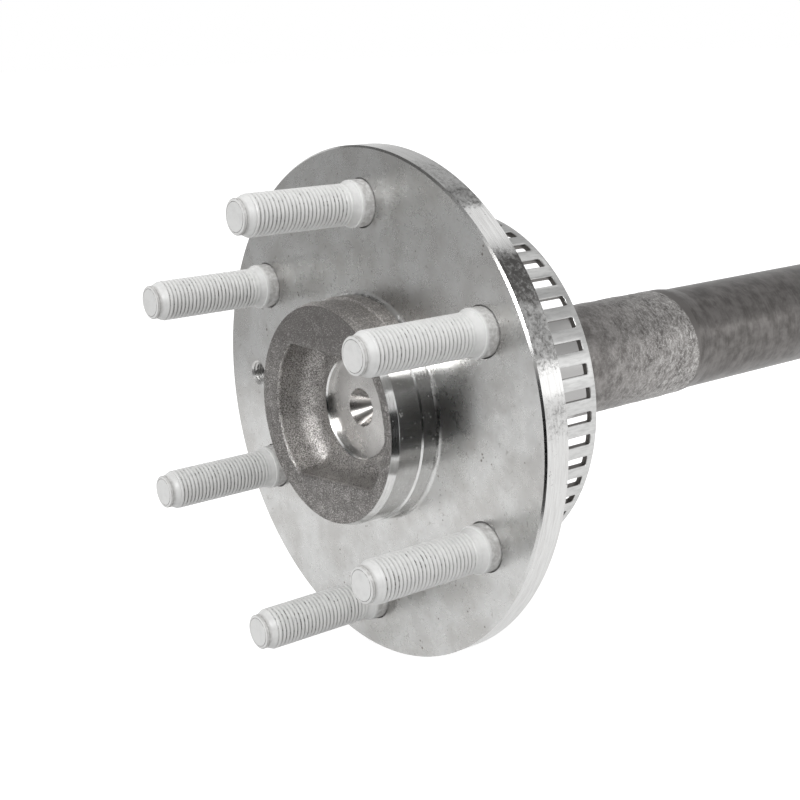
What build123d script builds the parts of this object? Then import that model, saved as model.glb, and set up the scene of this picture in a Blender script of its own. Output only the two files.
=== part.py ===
from build123d import *
from math import cos, pi, radians, sin, tan
import os

# Rear axle shaft of a light truck: a forging with its wheel flange, six pressed studs and a tone ring.
# Millimetres. The origin is the middle of the flange's wheel face, +Y runs along the shaft to its
# inner end, +Z is up, and the studs point to -Y. Angles are measured in the XZ plane from +X to +Z.

# Wheel flange
flange_r = 88.7
flange_thickness = 10.0
flange_edge_chamfer = 0.8

# Wheel bolt circle
stud_count = 6
bolt_circle_r = 69.85
first_stud_angle = 30.0

# Hub: a rough forged face, and two machined steps on its side that centre the wheel and the rotor
hub_height = 18.3
wheel_pilot_r = 38.3
rotor_pilot_r = 39.0
rotor_pilot_length = 6.8
pilot_step_length = 0.4
pilot_lead_length = 2.6
pilot_lead_depth = 1.0
pilot_root_fillet = 1.8

# Forged pocket in the hub's face: a round recess with two flats, drafted walls and a rounded floor.
# The die left it a little to one side, and its lower flat leans.
pocket_r = 30.8
pocket_offset = 2.0
pocket_top_height = 21.8
pocket_bottom_height = 22.8
pocket_bottom_lean = 4.3
pocket_depth = 13.5
pocket_draft = 7.0
pocket_floor_fillet = 7.5
pocket_corner_fillet = 2.0
pocket_mouth_fillet = 0.8

# Spot face and lathe centre in the pocket's floor
spot_face_r = 17.5
spot_face_depth = 2.1
spot_face_chamfer = 0.5
hub_centre_r = 6.7
hub_centre_drill_r = 2.6
hub_centre_drill_depth = 6.0
centre_cone_angle = 60.0

# Threaded hole in the flange, between two studs, at its thread's major radius
puller_hole_angle = 180.0
puller_hole_r = 4.0
puller_hole_chamfer = 0.9

# Machined seat behind the flange, which carries the tone ring
seat_shoulder_r = 44.0
seat_shoulder_length = 12.0
shoulder_root_fillet = 4.0
ring_seat_r = 37.0
ring_seat_length = 7.5
ring_seat_chamfer = 1.0
neck_root_r = 33.0
neck_root_length = 55.0

# Forged neck and ground bearing journal
neck_r = 21.3
neck_end_y = 150.0
journal_r = 20.575
journal_start_y = 156.0
journal_end_y = 262.0

# Bar, spline, clip groove and button at the inner end
bar_r = 17.5
bar_start_y = 276.0
overall_length = 853.0
button_r = 15.0
button_length = 8.4
button_chamfer = 1.0
clip_groove_width = 5.2
clip_groove_r = 11.1
spline_tooth_count = 30
spline_pitch_r = 15.875
spline_addendum = 0.53
spline_dedendum = 0.67
spline_length = 104.0
spline_runout_length = 5.0
spline_end_chamfer = 1.2
spline_flank_angle = 45.0
spline_neck_r = 14.9
spline_neck_length = 8.0
bar_taper_length = 14.0
inner_centre_r = 4.2
inner_centre_drill_r = 1.6
inner_centre_drill_depth = 5.0

# Wheel stud: a round head behind the flange, a serrated shank in its hole, a plain shoulder that the
# rotor's hole passes over, and an M14 x 1.5 thread at its major radius
stud_thread_r = 7.0
stud_reach = 48.9
stud_shoulder_r = 7.95
stud_shoulder_reach = 4.9
stud_runout_length = 3.2
stud_runout_r = 7.5
stud_dog_r = 5.9
stud_dog_length = 1.4
stud_dog_round = 0.4
stud_lead_length = 1.3
stud_head_r = 10.5
stud_head_thickness = 5.5
stud_head_chamfer = 0.9
serration_count = 30
serration_height = 0.35
serration_inset = 1.2
stud_relief_depth = 0.2
stud_hole_clearance = 0.2
serration_clearance = 0.02
stud_hole_chamfer = 0.3

# Tone ring: a stamped cup with a row of windows, pressed onto its seat
ring_r = 62.3
ring_wall = 2.1
ring_width = 26.3
ring_bend_r = 2.4
ring_lip_width = 2.5
window_count = 49
window_width = 3.6
window_length = 13.6
window_corner_r = 0.5
first_window_angle = 0.0

# Places that follow from the sizes above
hub_face_y = -hub_height
rotor_pilot_y = -rotor_pilot_length
pocket_floor_y = hub_face_y + pocket_depth
spot_face_y = pocket_floor_y + spot_face_depth
shoulder_y = flange_thickness + seat_shoulder_length
seat_end_y = shoulder_y + ring_seat_length
neck_start_y = seat_end_y + neck_root_length
button_y = overall_length - button_length
spline_end_y = button_y - clip_groove_width
spline_start_y = spline_end_y - spline_length
bar_end_y = spline_start_y - spline_neck_length - bar_taper_length
spline_major_r = spline_pitch_r + spline_addendum
spline_root_r = spline_pitch_r - spline_dedendum
stud_hole_r = stud_shoulder_r + stud_hole_clearance
ring_end_y = shoulder_y + ring_width
window_end_y = ring_end_y - ring_lip_width
window_start_y = window_end_y - window_length


def turned(outline):
    """Revolve a closed outline of (radius, y) around the shaft's axis."""
    return revolve(make_face(outline), Axis.Y, 360)


def at_angle(shape, angle):
    """Turn a shape about the shaft's axis, from +X towards +Z."""
    return Rot(0, -angle, 0) * shape


def on_circle(radius, angle):
    """X and Z of a point on a circle about the shaft's axis."""
    return radius * cos(radians(angle)), radius * sin(radians(angle))


def drilled_centre(mouth_r, drill_r, drill_depth):
    """A lathe centre's cutter: a cone, a drilled bore and its point, opening at the origin towards -Y."""
    cone_depth = (mouth_r - drill_r) / tan(radians(centre_cone_angle / 2))
    bore_end = cone_depth + drill_depth
    point_length = drill_r / tan(radians(59))
    return turned(Polyline(
        (0, -1), (mouth_r, -1), (mouth_r, 0), (drill_r, cone_depth), (drill_r, bore_end),
        (0, bore_end + point_length), close=True))


def shaft_body():
    """The turned outline of hub, flange, ring seat, neck, journal, bar and button."""
    hub_to_flange = Polyline(
        (0, hub_face_y),
        (wheel_pilot_r - pilot_lead_depth, hub_face_y),
        (wheel_pilot_r, hub_face_y + pilot_lead_length),
        (wheel_pilot_r, rotor_pilot_y),
        (rotor_pilot_r, rotor_pilot_y + pilot_step_length),
        (rotor_pilot_r, -pilot_root_fillet))
    pilot_root = TangentArc(
        (rotor_pilot_r, -pilot_root_fillet), (rotor_pilot_r + pilot_root_fillet, 0), tangent=(0, 1))
    flange = Polyline(
        (rotor_pilot_r + pilot_root_fillet, 0),
        (flange_r - flange_edge_chamfer, 0),
        (flange_r, flange_edge_chamfer),
        (flange_r, flange_thickness - flange_edge_chamfer),
        (flange_r - flange_edge_chamfer, flange_thickness),
        (seat_shoulder_r + shoulder_root_fillet, flange_thickness))
    shoulder_root = TangentArc(
        (seat_shoulder_r + shoulder_root_fillet, flange_thickness),
        (seat_shoulder_r, flange_thickness + shoulder_root_fillet), tangent=(-1, 0))
    seat = Polyline(
        (seat_shoulder_r, flange_thickness + shoulder_root_fillet),
        (seat_shoulder_r, shoulder_y),
        (ring_seat_r, shoulder_y),
        (ring_seat_r, seat_end_y - ring_seat_chamfer),
        (ring_seat_r - ring_seat_chamfer, seat_end_y),
        (neck_root_r, seat_end_y))
    neck_root = TangentArc((neck_r, neck_start_y), (neck_root_r, seat_end_y), tangent=(0, -1))
    inner_end = Polyline(
        (neck_r, neck_start_y),
        (neck_r, neck_end_y),
        (journal_r, journal_start_y),
        (journal_r, journal_end_y),
        (bar_r, bar_start_y),
        (bar_r, bar_end_y),
        (spline_neck_r, bar_end_y + bar_taper_length),
        (spline_neck_r, spline_end_y),
        (clip_groove_r, spline_end_y),
        (clip_groove_r, button_y),
        (button_r, button_y),
        (button_r, overall_length - button_chamfer),
        (button_r - button_chamfer, overall_length),
        (0, overall_length),
        (0, hub_face_y))
    return turned(hub_to_flange + pilot_root + flange + shoulder_root + seat + neck_root + inner_end)


def spline():
    """Straight-sided spline teeth, faded out towards the bar and chamfered at the clip groove."""
    half_tooth = pi * spline_pitch_r / spline_tooth_count / 2
    flank = tan(radians(spline_flank_angle))
    tip_half = half_tooth - spline_addendum * flank
    root_half = half_tooth + spline_dedendum * flank
    points = []
    for tooth in range(spline_tooth_count):
        middle = 360 * tooth / spline_tooth_count
        for radius, half_width in (
                (spline_root_r, -root_half), (spline_major_r, -tip_half),
                (spline_major_r, tip_half), (spline_root_r, root_half)):
            points.append(on_circle(radius, middle + half_width / radius * 180 / pi))
    section = make_face(Polyline(*points, close=True))
    toothed = Pos(0, spline_start_y, 0) * Rot(-90, 0, 0) * extrude(section, spline_length)
    envelope = turned(Polyline(
        (0, spline_start_y),
        (spline_neck_r, spline_start_y),
        (spline_major_r, spline_start_y + spline_runout_length),
        (spline_major_r, spline_end_y - spline_end_chamfer),
        (spline_major_r - spline_end_chamfer, spline_end_y),
        (0, spline_end_y), close=True))
    return toothed & envelope


def hub_pocket():
    """The forged pocket's cutter, narrowing towards its floor."""
    drop = pocket_r * tan(radians(pocket_bottom_lean))
    flats = make_face(Polyline(
        (-2 * pocket_r, -pocket_top_height),
        (2 * pocket_r, -pocket_top_height),
        (2 * pocket_r, pocket_bottom_height - 2 * drop),
        (-2 * pocket_r, pocket_bottom_height + 2 * drop), close=True))
    mouth = Circle(pocket_r) & flats
    mouth = fillet(mouth.vertices(), pocket_corner_fillet)
    mouth = Pos(pocket_offset, hub_face_y, 0) * Rot(-90, 0, 0) * mouth
    cutter = extrude(mouth, pocket_depth, taper=pocket_draft)
    floor = cutter.faces().sort_by(Axis.Y)[-1]
    return fillet(floor.edges(), pocket_floor_fillet)


def spot_face():
    """The turned disc in the pocket's floor, with its chamfered edge, cut up to the pocket's mouth."""
    return turned(Polyline(
        (0, spot_face_y),
        (spot_face_r, spot_face_y),
        (spot_face_r, pocket_floor_y + spot_face_chamfer),
        (spot_face_r + spot_face_chamfer, pocket_floor_y),
        (spot_face_r + spot_face_chamfer, pocket_floor_y - pocket_floor_fillet),
        (0, pocket_floor_y - pocket_floor_fillet), close=True))


def stud_hole(angle):
    """A pressed stud's hole through the flange, with a small chamfer at the wheel face."""
    x, z = on_circle(bolt_circle_r, angle)
    cutter = turned(Polyline(
        (0, -1), (stud_hole_r + stud_hole_chamfer, -1), (stud_hole_r + stud_hole_chamfer, 0),
        (stud_hole_r, stud_hole_chamfer), (stud_hole_r, flange_thickness + 1),
        (0, flange_thickness + 1), close=True))
    return Pos(x, 0, z) * cutter


def puller_hole():
    """The threaded hole through the flange, chamfered at both faces."""
    x, z = on_circle(bolt_circle_r, puller_hole_angle)
    wide_r = puller_hole_r + puller_hole_chamfer
    cutter = turned(Polyline(
        (0, -1), (wide_r, -1), (wide_r, 0), (puller_hole_r, puller_hole_chamfer),
        (puller_hole_r, flange_thickness - puller_hole_chamfer), (wide_r, flange_thickness),
        (wide_r, flange_thickness + 1), (0, flange_thickness + 1), close=True))
    return Pos(x, 0, z) * cutter


def axle_shaft():
    """The forging with everything that is cut into it."""
    shaft = shaft_body() + spline()
    shaft -= hub_pocket()
    mouth = shaft.faces().sort_by(Axis.Y)[0].inner_wires()[0]
    shaft = fillet(mouth.edges(), pocket_mouth_fillet)
    shaft -= spot_face()
    shaft -= Pos(0, spot_face_y, 0) * drilled_centre(
        hub_centre_r, hub_centre_drill_r, hub_centre_drill_depth)
    shaft -= Pos(0, overall_length, 0) * Rot(180, 0, 0) * drilled_centre(
        inner_centre_r, inner_centre_drill_r, inner_centre_drill_depth)
    for angle in stud_angles():
        shaft -= stud_hole(angle)
    return shaft - puller_hole()


def stud_angles():
    """The studs' angles about the shaft's axis."""
    return [first_stud_angle + 360 * place / stud_count for place in range(stud_count)]


def wheel_stud():
    """One stud on the shaft's axis, its head against the flange's back and its dog end towards -Y."""
    thread_start_y = -stud_shoulder_reach - stud_runout_length
    head_end_y = flange_thickness + stud_head_thickness
    shank_r = stud_shoulder_r - stud_relief_depth
    body = turned(Polyline(
        (0, -stud_reach),
        (stud_dog_r - stud_dog_round, -stud_reach),
        (stud_dog_r, -stud_reach + stud_dog_round),
        (stud_dog_r, -stud_reach + stud_dog_length),
        (stud_thread_r, -stud_reach + stud_dog_length + stud_lead_length),
        (stud_thread_r, thread_start_y),
        (stud_runout_r, -stud_shoulder_reach),
        (stud_shoulder_r, -stud_shoulder_reach),
        (stud_shoulder_r, 0),
        (shank_r, 0),
        (shank_r, flange_thickness),
        (stud_head_r, flange_thickness),
        (stud_head_r, head_end_y - stud_head_chamfer),
        (stud_head_r - stud_head_chamfer, head_end_y),
        (0, head_end_y), close=True))
    tip_r = stud_hole_r - serration_clearance
    points = []
    for tooth in range(serration_count):
        middle = 360 * tooth / serration_count
        points.append(on_circle(tip_r, middle))
        points.append(on_circle(tip_r - serration_height, middle + 180 / serration_count))
    section = make_face(Polyline(*points, close=True))
    length = flange_thickness - serration_inset
    return body + Pos(0, serration_inset, 0) * Rot(-90, 0, 0) * extrude(section, length)


def tone_ring():
    """The stamped ring: a web on the seat, a bend and a windowed wall that is open to the shaft's side."""
    inner_r = ring_r - ring_wall
    outer_bend_r = ring_bend_r + ring_wall
    web_y = shoulder_y + ring_wall
    wall = Polyline(
        (ring_seat_r, web_y),
        (ring_seat_r, shoulder_y),
        (ring_r - outer_bend_r, shoulder_y))
    outer_bend = TangentArc(
        (ring_r - outer_bend_r, shoulder_y), (ring_r, shoulder_y + outer_bend_r), tangent=(1, 0))
    rim = Polyline(
        (ring_r, shoulder_y + outer_bend_r),
        (ring_r, ring_end_y),
        (inner_r, ring_end_y),
        (inner_r, web_y + ring_bend_r))
    inner_bend = TangentArc(
        (inner_r, web_y + ring_bend_r), (inner_r - ring_bend_r, web_y), tangent=(0, -1))
    web = Line((inner_r - ring_bend_r, web_y), (ring_seat_r, web_y))
    ring = turned(wall + outer_bend + rim + inner_bend + web)
    slot = RectangleRounded(window_width, window_length, window_corner_r)
    window = Rot(0, 90, 0) * extrude(slot, 3 * ring_wall)
    window = Pos(inner_r - ring_wall, (window_start_y + window_end_y) / 2, 0) * window
    for place in range(window_count):
        ring -= at_angle(window, first_window_angle + 360 * place / window_count)
    return ring


os.makedirs("parts", exist_ok=True)
export_step(axle_shaft(), "parts/axle_shaft.step")
export_step(tone_ring(), "parts/tone_ring.step")
stud = wheel_stud()
for number, angle in enumerate(stud_angles(), start=1):
    x, z = on_circle(bolt_circle_r, angle)
    export_step(Pos(x, 0, z) * stud, f"parts/wheel_stud_{number}.step")
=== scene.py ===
"""Looks of a flanged axle shaft: a forging with hub and flange, six coated studs and a slotted tone ring."""

import logging
import math
from collections.abc import Iterable
from dataclasses import dataclass, field
from enum import Enum
from typing import Any

import bmesh
import bpy
import numpy as np
from mathutils import Matrix, Vector


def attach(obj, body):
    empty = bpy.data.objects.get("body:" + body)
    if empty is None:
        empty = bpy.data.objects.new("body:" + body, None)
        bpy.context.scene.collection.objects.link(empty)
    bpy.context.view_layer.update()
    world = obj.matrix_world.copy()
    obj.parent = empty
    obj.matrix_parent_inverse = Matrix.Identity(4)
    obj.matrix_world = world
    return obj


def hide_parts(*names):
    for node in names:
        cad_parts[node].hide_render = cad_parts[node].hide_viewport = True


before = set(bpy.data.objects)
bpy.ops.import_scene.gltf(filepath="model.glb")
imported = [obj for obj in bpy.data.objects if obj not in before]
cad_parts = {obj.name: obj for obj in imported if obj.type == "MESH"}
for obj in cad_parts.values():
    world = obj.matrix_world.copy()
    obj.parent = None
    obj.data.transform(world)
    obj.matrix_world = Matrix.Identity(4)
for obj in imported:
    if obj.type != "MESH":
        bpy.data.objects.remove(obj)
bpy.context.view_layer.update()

MM = 0.001
TAU = 2.0 * math.pi
BODY = "root"
# The attribute that tells how high a stud's surface stands: 1 on a crest, 0 in a root, below 0 in a crease.
# The coating's painted shade in roots and creases is read from it
CREST = "crest"
# The circle in mm on which a lathe's rings are read, so that they run on round the axis
DRAWN_RADIUS = 6.0
MATH = "ShaderNodeMath"
VECTOR = "ShaderNodeVectorMath"
COMBINE = "ShaderNodeCombineXYZ"
SEPARATE = "ShaderNodeSeparateXYZ"
NOISE = "ShaderNodeTexNoise"
CELLS = "ShaderNodeTexVoronoi"
RAMP = "ShaderNodeMapRange"
MIX = "ShaderNodeMixRGB"
BUMP = "ShaderNodeBump"
SOFT = "SMOOTHSTEP"
log = logging.getLogger("axle_shaft")


class Slot(Enum):
    """The record's material slots."""

    SHAFT = "shaft_steel"
    RING = "ring_steel"
    STUD = "stud_coating"


def linear(colour: str, alpha: float = 1.0) -> tuple[float, float, float, float]:
    """Turn an sRGB hex colour to linear light.

    Args:
        colour: The colour as "#RRGGBB".
        alpha: The alpha to go with it.

    Returns:
        Red, green, blue and alpha.
    """
    levels = [int(colour[i : i + 2], 16) / 255.0 for i in (1, 3, 5)]
    red, green, blue = (
        level / 12.92 if level <= 0.04045 else ((level + 0.055) / 1.055) ** 2.4 for level in levels
    )
    return red, green, blue, alpha


def add_node(tree: Any, kind: str, *values: Any, named: dict[str, Any] | None = None, **settings: Any) -> Any:
    """Add one node with its settings and links.

    Args:
        tree: The node tree.
        kind: The node's type name.
        values: What goes into its first inputs, in order: a node, a socket, a number or None for no change.
        named: What goes into inputs found by name.
        settings: Properties of the node.

    Returns:
        The new node.
    """
    node = tree.nodes.new(kind)
    for key, value in settings.items():
        setattr(node, key, value)
    for key, value in [*enumerate(values), *(named or {}).items()]:
        source = value.outputs[0] if isinstance(value, bpy.types.Node) else value
        if isinstance(source, bpy.types.NodeSocket):
            tree.links.new(source, node.inputs[key])
        elif source is not None:
            node.inputs[key].default_value = source
    return node


def emptied(owner: Any) -> Any:
    """Give a material or a world an empty node tree."""
    owner.use_nodes = True
    owner.node_tree.nodes.clear()
    return owner.node_tree


def new_shape_tree(name: str, inputs: dict[str, str]) -> Any:
    """Make a Geometry Nodes tree that has only its sockets.

    Args:
        name: The tree's name.
        inputs: The kind of each input after the geometry, by name.

    Returns:
        The node tree.
    """
    tree = bpy.data.node_groups.new(name, "GeometryNodeTree")
    tree.interface.new_socket("Geometry", in_out="OUTPUT", socket_type="NodeSocketGeometry")
    for label, kind in [("Geometry", "Geometry"), *inputs.items()]:
        tree.interface.new_socket(label, in_out="INPUT", socket_type=f"NodeSocket{kind}")
    return tree


def new_object(name: str, mesh: bpy.types.Mesh) -> bpy.types.Object:
    """Link a new object at the origin that shows the mesh."""
    shown = bpy.data.objects.new(name, mesh)
    bpy.context.scene.collection.objects.link(shown)
    return shown


def baked(source: bpy.types.Object, name: str) -> bpy.types.Object:
    """Turn an object with live modifiers into a plain mesh object.

    Args:
        source: The object, which is removed.
        name: The new object's name.

    Returns:
        The plain object at the origin.
    """
    graph = bpy.context.evaluated_depsgraph_get()
    mesh = bpy.data.meshes.new_from_object(source.evaluated_get(graph))
    bpy.data.objects.remove(source)
    mesh.name = name
    return new_object(name, mesh)


def shaped(source: bpy.types.Object, tree: Any, values: dict[str, Any], name: str) -> bpy.types.Object:
    """Put an object through a Geometry Nodes tree and keep what comes out as a plain mesh.

    Args:
        source: The object, which is used up.
        tree: The node tree.
        values: What its inputs are set to, by name.
        name: The new object's name.

    Returns:
        The plain object at the origin.
    """
    modifier = source.modifiers.new(tree.name, "NODES")
    modifier.node_group = tree
    for socket in tree.interface.items_tree:
        if socket.in_out == "INPUT" and socket.name in values:
            modifier[socket.identifier] = values[socket.name]
    return baked(source, name)


def finished(shown: bpy.types.Object, sharp_degrees: float, merge_mm: float = 0.001) -> None:
    """Close seams, point the faces outwards and shade the mesh smooth up to an angle.

    Args:
        shown: The object whose mesh is finished.
        sharp_degrees: Edges that turn more than this stay sharp.
        merge_mm: Vertices nearer than this become one.
    """
    work = bmesh.new()
    work.from_mesh(shown.data)
    bmesh.ops.remove_doubles(work, verts=work.verts, dist=merge_mm * MM)
    bmesh.ops.dissolve_degenerate(work, edges=work.edges, dist=0.2 * merge_mm * MM)
    loose = [vert for vert in work.verts if not vert.link_faces]
    bmesh.ops.delete(work, geom=loose, context="VERTS")
    bmesh.ops.recalc_face_normals(work, faces=work.faces)
    work.to_mesh(shown.data)
    work.free()
    shown.data.polygons.foreach_set("use_smooth", [True] * len(shown.data.polygons))
    shown.data.set_sharp_from_angle(angle=math.radians(sharp_degrees))


def placed(shown: bpy.types.Object, slot: Slot, *nodes: str) -> None:
    """Ride a finished piece on the part and say which solids it stands for."""
    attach(shown, BODY)
    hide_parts(*nodes)
    shown.data.calc_loop_triangles()
    log.info("%s: %d triangles, stands for %s", shown.name, len(shown.data.loop_triangles), ", ".join(nodes))


def circle_angles(count: int) -> np.ndarray:
    """Evenly spaced angles from +X towards +Z, in radians."""
    return TAU * np.arange(count) / count


def ring_row(radius: Any, y: Any, angles: np.ndarray) -> np.ndarray:
    """Points on a circle about +Y.

    Args:
        radius: One radius, or one for each angle, in mm.
        y: One place along the axis, or one for each angle, in mm.
        angles: The angles in radians.

    Returns:
        An array of points, one for each angle, in mm.
    """
    ones = np.ones(len(angles))
    return np.stack([radius * np.cos(angles), y * ones, radius * np.sin(angles)], axis=1)


def soft_noise(points: np.ndarray, longest: float, shortest: float, seed: int, waves: int = 64) -> np.ndarray:
    """Smooth random relief, as a sum of waves in random directions.

    Args:
        points: Where it is read, in mm.
        longest: The longest wave in mm.
        shortest: The shortest wave in mm.
        seed: The seed of the random draws.
        waves: How many waves are summed.

    Returns:
        A value for each point, with a spread of about 1.
    """
    draw = np.random.default_rng(seed)
    direction = draw.normal(size=(waves, 3))
    direction /= np.linalg.norm(direction, axis=1)[:, None]
    length = longest * (shortest / longest) ** draw.random(waves)
    phase = draw.random(waves) * TAU
    strength = length / np.sqrt(np.sum(length**2) / 2.0)
    return np.cos(points @ (direction * (TAU / length)[:, None]).T + phase) @ strength


@dataclass
class Strip:
    """Rows of points joined into bands of faces, each band with a material."""

    points: list[np.ndarray] = field(default_factory=list)
    starts: list[int] = field(default_factory=list)
    faces: list[tuple[int, ...]] = field(default_factory=list)
    materials: list[int] = field(default_factory=list)
    total: int = 0

    def add(self, row: np.ndarray, material: int = 0) -> None:
        """Add a row and join it to the last one. A row of one point is a pole.

        Args:
            row: The row's points in mm. It may have as many as the last row, half as many, or one.
            material: The material of the band between the two rows.
        """
        start, last = self.total, (self.starts[-1] if self.starts else None)
        self.points.append(row)
        self.starts.append(start)
        self.total += len(row)
        if last is None:
            return
        before, now = start - last, len(row)
        made: list[tuple[int, ...]] = []
        if before == now:
            made = [(last + i, last + (i + 1) % now, start + (i + 1) % now, start + i) for i in range(now)]
        elif before == 1:
            made = [(last, start + (i + 1) % now, start + i) for i in range(now)]
        elif now == 1:
            made = [(last + i, last + (i + 1) % before, start) for i in range(before)]
        else:
            for i in range(now):
                a, b, c = last + 2 * i, last + 2 * i + 1, last + (2 * i + 2) % before
                d, e = start + i, start + (i + 1) % now
                made += [(a, b, d), (b, c, e), (b, e, d)]
        self.faces += made
        self.materials += [material] * len(made)

    def revolve(self, outline: Iterable[Any], angles: np.ndarray, material: int = 0) -> None:
        """Add a circle of points for each place of an outline.

        Args:
            outline: Radius and y of each place in mm. A radius of 0 is a pole.
            angles: The circle's angles in radians.
            material: The material of the bands.
        """
        for r, y in outline:
            self.add(np.array([[0.0, y, 0.0]]) if r == 0.0 else ring_row(r, y, angles), material)

    def mesh(self, name: str) -> bpy.types.Mesh:
        """Make the mesh, in metres."""
        made = bpy.data.meshes.new(name)
        made.from_pydata((np.concatenate(self.points) * MM).tolist(), [], self.faces)
        made.polygons.foreach_set("material_index", self.materials)
        return made


def along(
    start: tuple[float, float], end: tuple[float, float], step: float, guard: float = 0.25
) -> np.ndarray:
    """Places on a straight run of an outline, with one close to each end so that shading stays flat.

    Args:
        start: Radius and y of the run's start, in mm. It is not in the result.
        end: Radius and y of the run's end, in mm.
        step: The longest step between places in mm.
        guard: How far the guarding places stand from the ends, in mm.

    Returns:
        An array of (radius, y).
    """
    a, b = np.array(start, float), np.array(end, float)
    length = float(np.linalg.norm(b - a))
    marks = np.linspace(0.0, 1.0, max(2, math.ceil(length / step) + 1))
    if length > 3.0 * guard:
        marks = np.concatenate([marks, [guard / length, 1.0 - guard / length]])
        marks = np.unique(np.round(marks, 9))
    return a + (b - a) * marks[1:, None]


def around(centre: tuple[float, float], radius: float, first: float, last: float, count: int) -> np.ndarray:
    """Places on an arc of an outline, without its first point.

    Args:
        centre: Radius and y of the arc's centre in mm.
        radius: The arc's radius in mm.
        first: The angle at which it starts, in degrees from +radius towards +y.
        last: The angle at which it ends.
        count: How many places.

    Returns:
        An array of (radius, y).
    """
    t = np.radians(np.linspace(first, last, count + 1)[1:])
    return np.stack([centre[0] + radius * np.cos(t), centre[1] + radius * np.sin(t)], axis=1)


# Finishes


class Face(Enum):
    """The forging's finishes, in the order of its material slots."""

    TURNED = 0
    PILOT = 1
    FORGED = 2
    NECK = 3
    JOURNAL = 4
    RIM = 5
    SPOT = 6
    BORE = 7
    BACK = 8


@dataclass(frozen=True)
class Grain:
    """The coordinates that the steel finishes share, all in millimetres."""

    place: Any
    drawn: Any
    radius: Any
    y: Any
    angle: Any
    across: Any

    @classmethod
    def on(cls, tree: Any) -> "Grain":
        """Read Object coordinates in millimetres, and what a lathe makes of them.

        Args:
            tree: The material's node tree.

        Returns:
            The place, the place drawn out round the axis, the radius, the place along the axis,
            the angle in degrees and the direction across the lathe's cut.
        """
        spot = add_node(tree, "ShaderNodeTexCoord").outputs["Object"]
        place = add_node(tree, VECTOR, spot, named={"Scale": 1.0 / MM}, operation="SCALE")
        apart = add_node(tree, SEPARATE, place)
        level = add_node(tree, VECTOR, place, (1.0, 0.0, 1.0), operation="MULTIPLY")
        radius = add_node(tree, VECTOR, level, operation="LENGTH").outputs["Value"]
        turn = add_node(tree, MATH, apart.outputs["Z"], apart.outputs["X"], operation="ARCTAN2")
        angle = add_node(tree, MATH, turn, operation="DEGREES")
        way = add_node(tree, VECTOR, level, operation="NORMALIZE")
        wide = add_node(tree, VECTOR, way, named={"Scale": DRAWN_RADIUS}, operation="SCALE")
        out = add_node(tree, MATH, radius, apart.outputs["Y"], operation="ADD")
        tall = add_node(tree, COMBINE, 0.0, out, 0.0)
        drawn = add_node(tree, VECTOR, wide, tall, operation="ADD")
        cut = add_node(tree, VECTOR, place, (0.0, -1.0, 0.0), operation="CROSS_PRODUCT")
        facing = add_node(tree, "ShaderNodeNewGeometry").outputs["Normal"]
        sideways = add_node(tree, VECTOR, facing, cut, operation="CROSS_PRODUCT")
        across = add_node(tree, VECTOR, sideways, operation="NORMALIZE")
        return cls(place, drawn, radius, apart.outputs["Y"], angle, across)


@dataclass(frozen=True)
class Finish:
    """What all finishes share: a name, and a node material built round one shader."""

    name: str

    def surface(self, tree: Any, grain: Grain) -> dict[str, Any]:
        """Build the nodes that feed the shader.

        Args:
            tree: The material's node tree.
            grain: Its coordinates.

        Returns:
            What goes into each of the shader's inputs that isn't left alone, by name.
        """
        raise NotImplementedError

    def material(self) -> bpy.types.Material:
        """Build the node material."""
        made = bpy.data.materials.new(self.name)
        tree = emptied(made)
        shader = add_node(tree, "ShaderNodeBsdfPrincipled", named=self.surface(tree, Grain.on(tree)))
        add_node(tree, "ShaderNodeOutputMaterial", shader)
        return made


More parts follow.
